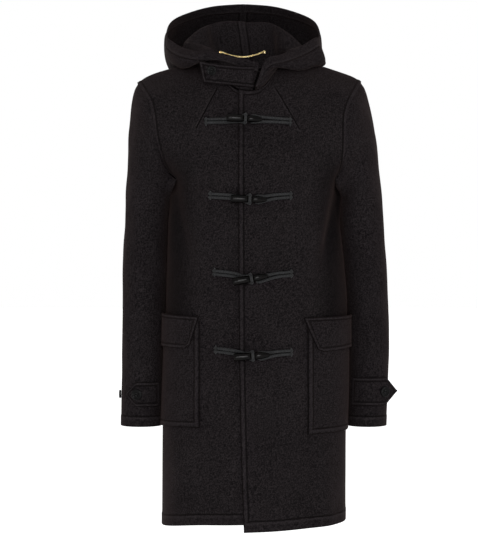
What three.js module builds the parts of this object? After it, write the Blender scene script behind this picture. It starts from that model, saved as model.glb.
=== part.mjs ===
// Duffle coat, filled out and worn by no one. Millimetres, +Z up, front towards -Y.
// The origin is between the shoulders at neck level, where the coat is held up.
// Right and left in names are the wearer's, so the right side is towards -X.
import * as THREE from "three";

// Driving dimensions
const CLOTH = 3; // wall of the heavy wool cloth
const GAP = 0.4; // between pieces sewn edge to edge
const NECK_GAP = 2; // between the hood's lower edge and the neckline
const LIE = 1.1; // between a piece of cloth and the panel it lies on
const SEAT = 0.5; // between a button and what it is sewn to
const CORD_SEAT = 0.75;
const SHOULDER_DROP = 49;
const SHOULDER_TURN = 7; // part of the drop that falls close to the shoulder point
const SHOULDER_SPAN = 138; // from the neck side to the shoulder point, across
const NECK_SIDE = 62;
const SHOULDER_ROLL = 64; // height over which front and back round into the shoulder
const SQUARENESS = 2.6; // exponent of the body sections, 2 is an ellipse
const UNDERARM = -240;
const NECK_DEPTH_FRONT = 75;
const NECK_HALF = 72;
const NECK_CENTRE = -4;
const NECK_DEPTH_BACK = 22;
const LAP = 4.3; // how far the over front stands out where it laps
const FRONT_EDGE_TOP = -20.8; // x of the over front's edge at the neck and at the hem
const FRONT_EDGE_HEM = -11.5;
const UNDER_EDGE_TOP = 20; // x of the under front's hidden edge at the neck and at the hem
const UNDER_EDGE_HEM = 44;
const FRONT_COLUMNS = 14;
const BACK_COLUMNS = 20;
const PANEL_ROWS = 25;
const NECK_SHARE = 6 / FRONT_COLUMNS; // share of a front's top edge that is neckline
const SHOULDER_SHARE = 6 / BACK_COLUMNS; // share of the back's top edge that is one shoulder
const LOWER = 0.6; // share of a panel's height below the underarm
const HEM_MIDDLE = -835.5;
const HEM_TILT = 0.033; // rise per mm towards +X
const HEM_DIP = 3; // extra length of the over front at its edge
const UNDER_HEM_RISE = 9; // the under front is this much shorter at its edge

// Body sections. centre is the x of the section's middle.
const BODY = [
  { level: 0, half: 228, front: 46, back: 66, centre: -1 },
  { level: -60, half: 220, front: 79, back: 90, centre: 0 },
  { level: -124, half: 208, front: 101, back: 104, centre: 5 },
  { level: -164, half: 194, front: 111, back: 109, centre: 9 },
  { level: -190, half: 180, front: 115, back: 110, centre: 11 },
  { level: -213, half: 163, front: 118, back: 110, centre: 13 },
  { level: -240, half: 148.5, front: 120, back: 109, centre: 12.5 },
  { level: -272, half: 152.6, front: 120, back: 106, centre: 9.2 },
  { level: -306, half: 153.4, front: 120, back: 103, centre: 7.7 },
  { level: -387, half: 158.7, front: 119, back: 100, centre: 10.2 },
  { level: -441, half: 161.5, front: 120, back: 103, centre: 11.4 },
  { level: -531, half: 163.5, front: 124, back: 111, centre: 10.9 },
  { level: -600, half: 164.5, front: 127, back: 117, centre: 9.5 },
  { level: -666, half: 164.4, front: 129, back: 120, centre: 7.6 },
  { level: -850, half: 164.5, front: 134, back: 124, centre: 6.5 },
];

// Armhole seams on the front, from the shoulder down to the underarm.
const ARMHOLE = {
  right: [
    { x: -203, z: -49 },
    { x: -194, z: -64 },
    { x: -178, z: -90 },
    { x: -170, z: -124 },
    { x: -163, z: -164 },
    { x: -155, z: -190 },
    { x: -144, z: -213 },
    { x: -133, z: -227 },
  ],
  left: [
    { x: 200, z: -49 },
    { x: 188, z: -71 },
    { x: 175, z: -96 },
    { x: 169, z: -124 },
    { x: 167, z: -160 },
    { x: 164, z: -190 },
    { x: 160, z: -213 },
    { x: 154, z: -229 },
  ],
};
const ARMHOLE_GAP = 1.3; // between a sleeve's head and the panels
const UNDERARM_LIFT = 1.8; // how far the sleeve's edge stands out at the underarm
const BACK_ARMHOLE_OUT = 7; // the back seam lies this much further out

// Drape folds, each a trough from its top end to its low end on the front or back.
const FOLDS = [
  { x: 168, z: -212, toX: 126, toZ: -398, width: 13, depth: 19, side: "front" },
  { x: -140, z: -212, toX: -106, toZ: -392, width: 12, depth: 8, side: "front" },
  { x: -96, z: -640, toX: -70, toZ: -850, width: 26, depth: 4, side: "front" },
  { x: 104, z: -660, toX: 92, toZ: -850, width: 24, depth: 4.5, side: "front" },
  { x: 128, z: -215, toX: 84, toZ: -420, width: 17, depth: 9, side: "back" },
  { x: -112, z: -215, toX: -82, toZ: -400, width: 16, depth: 7.5, side: "back" },
  { x: 44, z: -520, toX: 62, toZ: -850, width: 26, depth: 6, side: "back" },
  { x: -52, z: -560, toX: -74, toZ: -850, width: 24, depth: 5, side: "back" },
];

// Sleeve rings. outer and inner are the ring's ends in x and z, front and back its reach in y.
const SLEEVE = {
  right: [
    { at: 0, outerX: -203, outerZ: -49, innerX: -135, innerZ: -240, front: -62, back: 68 },
    { at: 0.08, outerX: -211, outerZ: -78, innerX: -138, innerZ: -245, front: -66, back: 74 },
    { at: 0.2, outerX: -217, outerZ: -125, innerX: -141, innerZ: -252, front: -64, back: 75 },
    { at: 0.34, outerX: -220, outerZ: -190, innerX: -145, innerZ: -272, front: -58, back: 73 },
    { at: 0.5, outerX: -224, outerZ: -280, innerX: -148, innerZ: -324, front: -51, back: 69 },
    { at: 0.66, outerX: -229, outerZ: -400, innerX: -150.5, innerZ: -416, front: -46, back: 64 },
    { at: 0.84, outerX: -230.5, outerZ: -532, innerX: -155.5, innerZ: -538, front: -42, back: 62 },
    { at: 1, outerX: -232, outerZ: -666, innerX: -158.5, innerZ: -666, front: -40, back: 62 },
  ],
  left: [
    { at: 0, outerX: 200, outerZ: -49, innerX: 163, innerZ: -240, front: -66, back: 68 },
    { at: 0.08, outerX: 211, outerZ: -78, innerX: 164, innerZ: -245, front: -68, back: 74 },
    { at: 0.2, outerX: 221.5, outerZ: -122, innerX: 164.5, innerZ: -252, front: -65, back: 75 },
    { at: 0.34, outerX: 231, outerZ: -194, innerX: 163.5, innerZ: -272, front: -58, back: 73 },
    { at: 0.5, outerX: 239, outerZ: -285, innerX: 163, innerZ: -322, front: -51, back: 69 },
    { at: 0.66, outerX: 247, outerZ: -408, innerX: 173, innerZ: -416, front: -46, back: 64 },
    { at: 0.84, outerX: 250, outerZ: -536, innerX: 177, innerZ: -538, front: -42, back: 62 },
    { at: 1, outerX: 245, outerZ: -666, innerX: 174.5, innerZ: -666, front: -40, back: 62 },
  ],
};
const SLEEVE_COLUMNS = 20; // twice the armhole's rows on a panel
const SLEEVE_ROWS = 20;
const SLEEVE_BLEND = 0.3; // share of the sleeve over which the armhole's outline fades out

// Hood profiles from the back middle at 0 to the front end at 1. Each profile runs from the
// neck seam up the collar, over the ridge, down the valley to the sole that rests on the
// shoulders, and up past belly and crown to the rim. Places are x, y, z.
const HOOD_CENTRE = {
  collar: -9,
  ridge: -16,
  valley: -13,
  sole: -12.5,
  belly: -12.5,
  crown: -12.5,
  rim: -12.5,
};
// Back rows serve both halves: x is the distance from the middle of each line.
const HOOD_BACK = [
  {
    at: 0,
    neck: 0,
    collar: [0, 61, 26],
    ridge: [0, 76, 71],
    valley: [0, 100, 20],
    sole: [0, 120, -86],
    belly: [0, 176, -12],
    crown: [0, 163, 68],
    rim: [0, 128, 112],
  },
  {
    at: 0.15,
    neck: 43,
    collar: [46, 56, 25],
    ridge: [46, 70, 69],
    valley: [56, 92, 18],
    sole: [62, 112, -80],
    belly: [72, 164, -12],
    crown: [70, 152, 65],
    rim: [58, 122, 106],
  },
  {
    at: 0.29,
    neck: 66,
    collar: [60, 31, 21],
    ridge: [70, 42, 56],
    valley: [92, 56, 12],
    sole: [104, 84, -50],
    belly: [124, 112, -8],
    crown: [122, 108, 52],
    rim: [106, 94, 88],
  },
  {
    at: 0.41,
    neck: 72,
    collar: [74, 8, 14],
    ridge: [90, 20, 38],
    valley: [108, 27, 6],
    sole: [126, 42, -23],
    belly: [139, 60, -3],
    crown: [140, 58, 36],
    rim: [131, 50, 66],
  },
];
const NECK_SIDE_AT = 0.41; // where the neck seam passes from the back to a front
// Front rows: neck is the x of the neck seam, and the other places are as they stand.
const HOOD_FRONT = {
  right: [
    {
      at: 0.53,
      neck: -75,
      collar: [-90, -12, 8],
      ridge: [-116, -3, 23],
      valley: [-125, -3, -3],
      sole: [-135, -2, -15.5],
      belly: [-147, 8, -2],
      crown: [-149.5, 8, 18],
      rim: [-149.5, 10, 36],
    },
    {
      at: 0.65,
      neck: -70,
      collar: [-80, -34, -3],
      ridge: [-101, -22, 19],
      valley: [-112, -26, -4],
      sole: [-122, -30, -25],
      belly: [-139, -24, -10],
      crown: [-141, -20, 6],
      rim: [-137, -18, 21],
    },
    {
      at: 0.76,
      neck: -60,
      collar: [-66, -60, -20],
      ridge: [-82, -46, 11],
      valley: [-98, -50, -7],
      sole: [-108, -57, -26],
      belly: [-121, -54, -15],
      crown: [-123, -50, -4],
      rim: [-117, -47, 6],
    },
    {
      at: 0.85,
      neck: -46,
      collar: [-51, -79, -38],
      ridge: [-62, -75, -3],
      valley: [-71, -80, -11],
      sole: [-79, -84, -20],
      belly: [-88, -84, -16],
      crown: [-90, -82, -11],
      rim: [-87, -80, -6],
    },
    {
      at: 0.92,
      neck: -28,
      collar: [-32, -84.5, -50],
      ridge: [-38, -90, -36],
      valley: [-41, -92, -28],
      sole: [-44, -93, -22],
      belly: [-47, -94, -17],
      crown: [-49, -94, -13],
      rim: [-51, -93, -9],
    },
    {
      at: 1,
      neck: 5,
      collar: [5.4, -84.5, -64],
      ridge: [8, -88.5, -56],
      valley: [11, -92, -48],
      sole: [13, -94.5, -42],
      belly: [14, -96, -36],
      crown: [14, -97, -31],
      rim: [14, -97.5, -26],
    },
  ],
  left: [
    {
      at: 0.53,
      neck: 67,
      collar: [76, -12, 9],
      ridge: [93, -3, 18],
      valley: [108, -2, -6],
      sole: [130, 0, -15.5],
      belly: [131, 8, -8],
      crown: [126, 10, 14],
      rim: [125, 10, 36],
    },
    {
      at: 0.65,
      neck: 62,
      collar: [67, -34, -2],
      ridge: [84, -24, 10],
      valley: [96, -28, -8],
      sole: [112, -33, -22.5],
      belly: [126, -28, -14],
      crown: [122, -24, 6],
      rim: [112, -20, 26],
    },
    {
      at: 0.76,
      neck: 50,
      collar: [53, -62, -19],
      ridge: [64, -56, -3],
      valley: [73, -59, -15],
      sole: [83, -62, -32],
      belly: [95, -59, -23],
      crown: [92, -54, -9],
      rim: [83, -48, 5],
    },
    {
      at: 0.86,
      neck: 30,
      collar: [31, -86, -50],
      ridge: [34, -87, -39],
      valley: [39, -89, -33],
      sole: [48, -90, -31],
      belly: [56, -86, -26],
      crown: [55, -82, -18],
      rim: [50, -78, -11],
    },
    {
      at: 0.93,
      neck: 19,
      collar: [20, -92, -62.5],
      ridge: [21, -94, -54],
      valley: [23, -97, -46],
      sole: [27, -99.5, -38],
      belly: [30, -100.5, -31],
      crown: [30, -99, -26],
      rim: [27, -97, -21],
    },
    {
      at: 1,
      neck: 9,
      collar: [9.2, -95, -70.6],
      ridge: [9.3, -97.5, -70.2],
      valley: [9.4, -99, -69.8],
      sole: [9.2, -99, -69.4],
      belly: [9.3, -101, -68],
      crown: [9.4, -102.5, -66],
      rim: [9.6, -104, -64],
    },
  ],
};
const HOOD_COLUMNS = 18;
const HOOD_ROWS = 18;
const HOOD_LINES = ["neck", "collar", "ridge", "valley", "sole", "belly", "crown", "rim"];

// Throat tab: its ends, and the heights of its edges there
const TAB = { right: 6.2, left: -90, leftLow: -82, topRight: -33, topLeft: -22, lowRight: -69, lowLeft: -60 };
const TAB_FACE = { low: -93.1, top: -103.1, left: -94.1 }; // y of its outer face

// Toggles down the front. x and z are the waist's, tilt turns the tip up.
const TOGGLES = [
  { x: -8.5, z: -127, tilt: -3, cordX: -80, cordZ: -129, loopX: 72, loopZ: -130 },
  { x: -1, z: -265.2, tilt: -2, cordX: -72, cordZ: -258, loopX: 72, loopZ: -258 },
  { x: 1.5, z: -402, tilt: 10, cordX: -65, cordZ: -391, loopX: 73, loopZ: -393 },
  { x: 4, z: -535, tilt: 4, cordX: -63, cordZ: -525, loopX: 73, loopZ: -529 },
];
// Toggle outline: distance along from the waist, and radius.
const TOGGLE_OUTLINE = [
  [-33, 0],
  [-33, 5.4],
  [-31.5, 6.8],
  [-22, 7.2],
  [-9, 6.6],
  [-3.4, 5.4],
  [-1.8, 4.4],
  [1.8, 4.4],
  [3.4, 5.4],
  [10, 6.2],
  [20, 5],
  [27, 3.4],
  [29.5, 0],
];
const CORD = 5.2;
const CORD_PITCH = 5.7; // between the two strands where they are sewn down

// Patch pockets and flaps. front is the x of the front edge, side the share of a quarter
// turn at which they end; top, low and sideTop are heights.
const POCKET = {
  right: { front: -87, side: 0.95, top: -476, low: -660, lowSide: -663 },
  left: { front: 98, side: 0.95, top: -480, low: -672, lowSide: -669 },
};
const FLAP = {
  right: { top: -87, corner: -101, side: 0.92, high: -468, highSide: -463, low: -524, lowSide: -522 },
  left: { top: 90, corner: 114, side: 0.92, high: -470, highSide: -466, low: -530, lowSide: -523 },
};

// Cuff straps: the turn round the sleeve where the strap leaves it, the length it stands off,
// the turn where it ends near the inner side, and its edges' heights.
const STRAP = {
  right: { leave: 57, free: 9, end: 142, high: -586, low: -630, point: 26 },
  left: { leave: 60, free: 38, end: 140, high: -578, low: -628, point: 26 },
};
const STRAP_RADIUS = 46; // of the sleeve, near enough to lay out a strap's length
const STRAP_BUTTON = { right: 28, left: 30 }; // from the strap's point
const BUTTON = { radius: 9.6, thick: 3.6 };
const THROAT_BUTTON = { x: -66.5, z: -39.5, radius: 8.3 };
const SPARE_BUTTON = { at: 0.934, turn: 4, radius: 7.4 };

// Hanger chain inside the back neck: places on the hood halves' inner side
const CHAIN = 3.2;
const CHAIN_SAG = 12;
const CHAIN_FIXING = { radius: 2.8, thick: 1.6 };
const CHAIN_FORWARD = 8; // how far its middle hangs clear of the collar
const CHAIN_END = { right: { along: 0.17, up: 0.086 }, left: { along: 0.106, up: 0.095 } };

// Colours and finish
const finish = (color, roughness, metalness) => () =>
  new THREE.MeshStandardMaterial({ color, roughness, metalness });
const wool = finish(0x1f1c1e, 0.95, 0);
const cordFinish = finish(0x242426, 0.8, 0);
const horn = finish(0x0d0b0a, 0.25, 0);
const shiny = finish(0x111111, 0.2, 0);
const gold = finish(0xd9a441, 0.25, 1);

const lerp = THREE.MathUtils.lerp;
const clamp = THREE.MathUtils.clamp;
const smooth = (low, high, value) => THREE.MathUtils.smoothstep(value, low, high);
const vec = (x, y, z) => new THREE.Vector3(x, y, z);

// A smooth curve through table rows: cubic pieces whose slope at a row is that of its neighbours.
// A column holds a number or a place as [x, y, z].
function row(table, key, at) {
  const last = table.length - 1;
  const rising = table[last][key] > table[0][key];
  const x = rising ? at : -at;
  const knot = (i) => (rising ? table[i][key] : -table[i][key]);
  let i = 0;
  while (i < last - 1 && knot(i + 1) < x) i += 1;
  const step = knot(i + 1) - knot(i);
  const t = clamp((x - knot(i)) / step, 0, 1);
  const value = {};
  for (const name of Object.keys(table[i])) {
    if (name === key) continue;
    const smoothed = (cell) => {
      const slope = (j) => {
        const before = Math.max(j - 1, 0);
        const after = Math.min(j + 1, last);
        return (cell(after) - cell(before)) / (knot(after) - knot(before));
      };
      return (
        cell(i) * (1 - 3 * t * t + 2 * t * t * t) +
        cell(i + 1) * (3 * t * t - 2 * t * t * t) +
        slope(i) * step * t * (1 - t) * (1 - t) -
        slope(i + 1) * step * t * t * (1 - t)
      );
    };
    const isPlace = Array.isArray(table[i][name]);
    value[name] = isPlace
      ? [0, 1, 2].map((k) => smoothed((j) => table[j][name][k]))
      : smoothed((j) => table[j][name]);
  }
  return value;
}

// A closed cloth wall over a grid of points. point(u, v) runs over the unit square and its
// outward side is du cross dv. trim(u, v, normal) may turn the wall's direction at an edge.
function wall(point, columns, rows, options = {}) {
  const { thick = () => CLOTH, round = false, trim = (u, v, n) => n } = options;
  const small = 1e-3;
  const across = round ? columns : columns + 1;
  const outer = [];
  const inner = [];
  for (let j = 0; j <= rows; j += 1) {
    for (let i = 0; i < across; i += 1) {
      const u = i / columns;
      const v = j / rows;
      const p = point(u, v);
      const u0 = round ? u - small : Math.max(u - small, 0);
      const u1 = round ? u + small : Math.min(u + small, 1);
      const du = point(u1, v).sub(point(u0, v));
      const dv = point(u, Math.min(v + small, 1)).sub(point(u, Math.max(v - small, 0)));
      const n = trim(u, v, du.cross(dv).normalize()).normalize();
      outer.push(p);
      inner.push(p.clone().addScaledVector(n, -thick(u, v)));
    }
  }
  const total = outer.length;
  const at = (i, j) => j * across + (round ? i % across : i);
  const index = [];
  const quad = (a, b, c, d) => index.push(a, b, c, a, c, d);
  for (let j = 0; j < rows; j += 1) {
    for (let i = 0; i < columns; i += 1) {
      const [a, b, c, d] = [at(i, j), at(i + 1, j), at(i + 1, j + 1), at(i, j + 1)];
      quad(a, b, c, d);
      quad(a + total, d + total, c + total, b + total);
    }
  }
  for (let i = 0; i < columns; i += 1) {
    const [a, b] = [at(i, 0), at(i + 1, 0)];
    quad(a, a + total, b + total, b);
    const [c, d] = [at(i, rows), at(i + 1, rows)];
    quad(c, d, d + total, c + total);
  }
  for (let j = 0; j < rows && !round; j += 1) {
    const [a, b] = [at(0, j), at(0, j + 1)];
    quad(a, b, b + total, a + total);
    const [c, d] = [at(columns, j), at(columns, j + 1)];
    quad(c, c + total, d + total, d);
  }
  const geometry = new THREE.BufferGeometry().setFromPoints([...outer, ...inner]);
  geometry.setIndex(index);
  return geometry;
}

// Height lost to the slope of the shoulder at a distance from the middle.
function slopeDrop(x) {
  const share = Math.max(0, (Math.abs(x) - NECK_SIDE) / SHOULDER_SPAN);
  const end = Math.min(share, 1) ** 14;
  return (SHOULDER_DROP - SHOULDER_TURN) * share ** 1.02 + SHOULDER_TURN * end;
}
const slopeShare = (level) => smooth(-150, 0, level);

// The level whose section passes through a place on the front or back.
function levelAt(x, z) {
  let level = z;
  for (let i = 0; i < 30; i += 1) level = z + slopeDrop(x) * slopeShare(level);
  return Math.min(level, 0);
}

// The inward depth of the drape folds at a place.
function foldDepth(x, z, side) {
  let depth = 0;
  for (const fold of FOLDS) {
    if (fold.side !== side) continue;
    const along = (z - fold.z) / (fold.toZ - fold.z);
    const centre = lerp(fold.x, fold.toX, along);
    const fade = smooth(-0.12, 0.12, along) * (1 - smooth(0.55, 1.05, along));
    depth += fold.depth * fade * Math.exp(-(((x - centre) / fold.width) ** 2));
  }
  return depth;
}

// The body's outer surface. turn is 0 at centre front, a quarter turn at the +X side
// and a half turn at centre back; level is the height before the shoulders slope.
function body(turn, height, folded = true) {
  const level = Math.min(height, 0);
  const section = row(BODY, "level", level);
  const roll = level > -SHOULDER_ROLL ? Math.sqrt(1 - (1 + level / SHOULDER_ROLL) ** 2) : 1;
  const isFront = Math.abs(turn) <= Math.PI / 2 + 1e-9;
  const across = clamp(Math.abs(Math.sin(turn)), 0, 1);
  const reach = (1 - across ** SQUARENESS) ** (1 / SQUARENESS);
  const x = section.centre + section.half * Math.sin(turn);
  const z = level - slopeDrop(x) * slopeShare(level);
  const depth = (isFront ? section.front : section.back) * roll;
  const side = isFront ? "front" : "back";
  const fold = folded ? foldDepth(x, z, side) * smooth(0, 0.35, reach) : 0;
  const y = (GAP / 2 + Math.max(depth * reach - fold, 0)) * (isFront ? -1 : 1);
  const pull = fold * 0.45 * across * Math.sign(Math.sin(turn));
  return vec(x - pull, y, z);
}

// The turn at which the body's section reaches an x.
function turnAt(x, level, isBack = false) {
  const section = row(BODY, "level", level);
  const turn = Math.asin(clamp((x - section.centre) / section.half, -1, 1));
  return isBack ? Math.sign(x || 1) * Math.PI - turn : turn;
}

// A four-sided patch in turn and level between its four edges.
function patch(low, high, start, end) {
  return (u, v) => {
    const mix = (k) =>
      (1 - v) * low(u)[k] +
      v * high(u)[k] +
      (1 - u) * start(v)[k] +
      u * end(v)[k] -
      (1 - u) * (1 - v) * low(0)[k] -
      u * (1 - v) * low(1)[k] -
      (1 - u) * v * high(0)[k] -
      u * v * high(1)[k];
    return [mix(0), mix(1)];
  };
}

// The armhole as turn and level, from the underarm at 0 to the shoulder at 1.
function armhole(side, isBack) {
  const sign = side === "left" ? 1 : -1;
  const places = ARMHOLE[side].map(({ x, z }, i) => {
    const out = isBack ? BACK_ARMHOLE_OUT * Math.sin((Math.PI * i) / 7) * sign : 0;
    const level = levelAt(x, z);
    return { turn: turnAt(x + out, level, isBack), level };
  });
  places.push({ turn: (sign * Math.PI) / 2, level: UNDERARM });
  places.reverse();
  const table = places.map((place, i) => ({ at: i / (places.length - 1), ...place }));
  return (v) => {
    const { turn, level } = row(table, "at", v);
    return [turn, Math.min(level, 0)];
  };
}

const unfolded = (turn, level) => body(turn, level, false);

// The outward side of a surface of turn and level, and a point moved out along it.
function outsideOf(surface, turn, level) {
  const du = surface(turn + 1e-3, level).sub(surface(turn - 1e-3, level));
  const dv = surface(turn, level + 0.1).sub(surface(turn, level - 0.1));
  return du.cross(dv).normalize();
}
function lifted(surface, turn, level, out) {
  return surface(turn, level).addScaledVector(outsideOf(surface, turn, level), out);
}

// The neckline's level at an x, front or back.
function neckLevel(x, isBack) {
  const share = clamp(Math.abs(x - NECK_CENTRE) / NECK_HALF, 0, 1);
  if (isBack) return -NECK_DEPTH_BACK * Math.sqrt(1 - share * share);
  return -NECK_DEPTH_FRONT * (1 - share ** 2.6) ** 1.4;
}
const neckSide = (sign) => NECK_CENTRE + sign * NECK_HALF;

// A place on the top edge between a neckline x and the shoulder point.
function topEdge(x, isBack) {
  const level = Math.abs(x - NECK_CENTRE) < NECK_HALF ? neckLevel(x, isBack) : 0;
  return [turnAt(x, level, isBack), level];
}

const hemLevel = (x) => HEM_MIDDLE + HEM_TILT * x;
const frontEdge = (level) =>
  lerp(FRONT_EDGE_TOP, FRONT_EDGE_HEM, clamp(level / HEM_MIDDLE, 0, 1) ** 4);
const underEdge = (level) => lerp(UNDER_EDGE_HEM, UNDER_EDGE_TOP, smooth(-300, -120, level));
const lapAt = (x) => LAP * (1 - smooth(40, 110, x));
const lapped = (turn, level) => lifted(body, turn, level, lapAt(body(turn, level).x));

// A front panel. u runs from the front edge to the side, v from the hem to the top.
function frontPoint(side) {
  const over = side === "left";
  const sign = over ? 1 : -1;
  const quarter = (sign * Math.PI) / 2;
  const edgeX = over ? frontEdge : underEdge;
  const shoulderX = ARMHOLE[side][0].x;
  const topX = (u) => {
    const neck = neckSide(sign);
    if (u > NECK_SHARE) return lerp(neck, shoulderX, (u - NECK_SHARE) / (1 - NECK_SHARE));
    return lerp(edgeX(-NECK_DEPTH_FRONT), neck, Math.sin(((u / NECK_SHARE) * Math.PI) / 2));
  };
  const startLevel = topEdge(topX(0), false)[1];
  const upper = patch(
    (u) => [lerp(turnAt(edgeX(UNDERARM), UNDERARM), quarter, u), UNDERARM],
    (u) => topEdge(topX(u), false),
    (v) => {
      const level = lerp(UNDERARM, startLevel, v);
      return [turnAt(edgeX(level), level), level];
    },
    armhole(side, false),
  );
  return (u, v) => {
    let place;
    if (v < LOWER) {
      const near = over ? -HEM_DIP * (1 - smooth(0, 0.5, u)) : UNDER_HEM_RISE * (1 - smooth(0.4, 1, u));
      const hem = hemLevel(lerp(edgeX(HEM_MIDDLE), sign * 160, u)) + near;
      const level = lerp(hem, UNDERARM, v / LOWER);
      place = [lerp(turnAt(edgeX(level), level), quarter, u), level];
    } else {
      place = upper(u, (v - LOWER) / (1 - LOWER));
    }
    return over ? lapped(...place) : body(...place);
  };
}

// The back panel. u runs from the left side to the right side, v from the hem to the top.
function backPoint() {
  const seams = { left: armhole("left", true), right: armhole("right", true) };
  const whole = ([turn, level]) => [turn < 0 ? turn + 2 * Math.PI : turn, level];
  const turnOf = (u) => lerp(Math.PI / 2, (3 * Math.PI) / 2, u);
  const topX = (u) => {
    const share = SHOULDER_SHARE;
    if (u < share) return lerp(ARMHOLE.left[0].x, neckSide(1), u / share);
    if (u > 1 - share) return lerp(neckSide(-1), ARMHOLE.right[0].x, (u - 1 + share) / share);
    return NECK_CENTRE + NECK_HALF * Math.cos(((u - share) / (1 - 2 * share)) * Math.PI);
  };
  const upper = patch(
    (u) => [turnOf(u), UNDERARM],
    (u) => whole(topEdge(topX(u), true)),
    (v) => whole(seams.left(v)),
    (v) => whole(seams.right(v)),
  );
  return (u, v) => {
    const hem = hemLevel(lerp(160, -160, u));
    const place =
      v < LOWER
        ? [turnOf(u), lerp(hem, UNDERARM, v / LOWER)]
        : upper(u, (v - LOWER) / (1 - LOWER));
    const turn = place[0] > Math.PI ? place[0] - 2 * Math.PI : place[0];
    return body(turn, Math.min(place[1], 0));
  };
}

// A place on the outside of a front, moved out.
function onFront(surface, x, z, out) {
  const level = levelAt(x, z);
  return lifted(surface, turnAt(x, level), level, out);
}

// The armhole outline that a sleeve starts from. turn is 0 at the shoulder, a quarter turn
// at the front and a half turn at the underarm. It gives the place and the cloth's outside.
function armholeRing(side) {
  const sign = side === "left" ? 1 : -1;
  const seams = [armhole(side, false), armhole(side, true)];
  const small = 2e-3;
  return (turn) => {
    const wrapped = ((turn % 1) + 1) % 1;
    const isBack = wrapped > 0.5;
    const share = 1 - (isBack ? 2 - 2 * wrapped : 2 * wrapped);
    const seam = seams[isBack ? 1 : 0];
    const at = (s) => body(...seam(clamp(s, 0, 1)));
    const place = at(share);
    const tangent = at(share + small).sub(at(share - small)).normalize();
    const outside = outsideOf(unfolded, ...seam(clamp(share, small, 1 - small)));
    const away = tangent.clone().cross(outside).normalize();
    if (away.dot(vec(sign, 0, 0.8)) < 0) away.negate();
    if (share < 1e-6 || share > 1 - 1e-6) place.y = 0;
    const squared = smooth(0.3, 0.55, share);
    place.addScaledVector(away, ARMHOLE_GAP);
    place.addScaledVector(outside, UNDERARM_LIFT * (1 - squared));
    return { place, outside, squared };
  };
}

// A sleeve. u runs once round from the top over the front, v from the armhole to the cuff.
function sleevePoint(side) {
  const ring = armholeRing(side);
  const ellipse = (turn, v) => {
    const r = row(SLEEVE[side], "at", v);
    const c = Math.cos(turn * 2 * Math.PI);
    const s = Math.sin(turn * 2 * Math.PI);
    return vec(
      (r.outerX + r.innerX) / 2 + ((r.outerX - r.innerX) / 2) * c,
      s > 0 ? r.front * s : -r.back * s,
      (r.outerZ + r.innerZ) / 2 + ((r.outerZ - r.innerZ) / 2) * c,
    );
  };
  return (turn, v) => {
    const fade = 1 - smooth(0, SLEEVE_BLEND, v);
    const p = ellipse(turn, v);
    if (fade > 0) p.add(ring(turn).place.sub(ellipse(turn, 0)).multiplyScalar(fade));
    return p;
  };
}

// The panels' neckline as drawn by their columns: the place at an x.
function necklineAt(side, isBack) {
  const point = isBack ? backPoint() : frontPoint(side);
  const first = isBack ? BACK_COLUMNS * SHOULDER_SHARE : 0;
  const count = isBack ? BACK_COLUMNS * (1 - 2 * SHOULDER_SHARE) : FRONT_COLUMNS * NECK_SHARE;
  const places = [];
  for (let i = 0; i <= Math.round(count); i += 1) {
    places.push(point((first + i) / (isBack ? BACK_COLUMNS : FRONT_COLUMNS), 1));
  }
  if (places[0].x > places[places.length - 1].x) places.reverse();
  return (x) => {
    let i = 0;
    while (i < places.length - 2 && places[i + 1].x < x) i += 1;
    const [from, to] = [places[i], places[i + 1]];
    return from.clone().lerp(to, clamp((x - from.x) / (to.x - from.x), 0, 1));
  };
}

// A hood half. u runs from the back middle to the front end, v from the neck to the rim.
function hoodPoint(side) {
  const sign = side === "left" ? 1 : -1;
  const back = HOOD_BACK.map((places) => {
    const made = { at: places.at, neck: NECK_CENTRE + sign * places.neck };
    for (const line of HOOD_LINES.slice(1)) {
      const [x, y, z] = places[line];
      made[line] = [HOOD_CENTRE[line] + sign * x, y, z];
    }
    return made;
  });
  const table = [...back, ...HOOD_FRONT[side]];
  const seams = { front: necklineAt(side, false), back: necklineAt(side, true) };
  return (u, v) => {
    const places = row(table, "at", u);
    const isBack = u < NECK_SIDE_AT;
    const reach = NECK_HALF - 1e-3;
    const neckX = clamp(places.neck, NECK_CENTRE - reach, NECK_CENTRE + reach);
    const level = neckLevel(neckX, isBack);
    const surface = side === "left" && !isBack ? lapped : body;
    const seam = isBack ? seams.back : seams.front;
    const place = seam(neckX);
    const tangent = seam(neckX + 1.5).sub(seam(neckX - 1.5));
    const outside = outsideOf(surface, turnAt(neckX, level, isBack), level);
    const away = tangent.cross(outside).normalize();
    if (away.dot(vec(NECK_CENTRE - place.x, -place.y, 40)) < 0) away.negate();
    places.neck = place.addScaledVector(away, CLOTH + NECK_GAP).toArray();
    const profile = HOOD_LINES.map((line, i) => ({ at: i / 7, place: places[line] }));
    const p = vec(...row(profile, "at", v).place);
    p.x += sign * (GAP / 2) * (1 - smooth(0, 0.03, u));
    return p;
  };
}

// The throat tab. u runs from its right end on the viewer's left to the other, v upwards.
function tabPoint(u, v) {
  const share = 1 - u;
  const x = lerp(TAB.right, lerp(TAB.leftLow, TAB.left, v), share);
  const top = lerp(TAB.topRight, TAB.topLeft, share ** 2);
  const low = lerp(TAB.lowRight, TAB.lowLeft, share);
  const z = lerp(low, top, v);
  const y = lerp(lerp(TAB_FACE.low, TAB_FACE.top, v), TAB_FACE.left, smooth(0.35, 1, share));
  return vec(x, y, z);
}

// The tab's outer face at an x and a height.
function tabAt(x, z) {
  const left = (TAB.left + TAB.leftLow) / 2;
  const u = (x - left) / (TAB.right - left);
  const low = tabPoint(u, 0).z;
  const v = (z - low) / (tabPoint(u, 1).z - low);
  const du = tabPoint(u + 1e-3, v).sub(tabPoint(u - 1e-3, v));
  const dv = tabPoint(u, v + 1e-3).sub(tabPoint(u, v - 1e-3));
  return { place: tabPoint(u, v), outside: du.cross(dv).normalize() };
}

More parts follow.
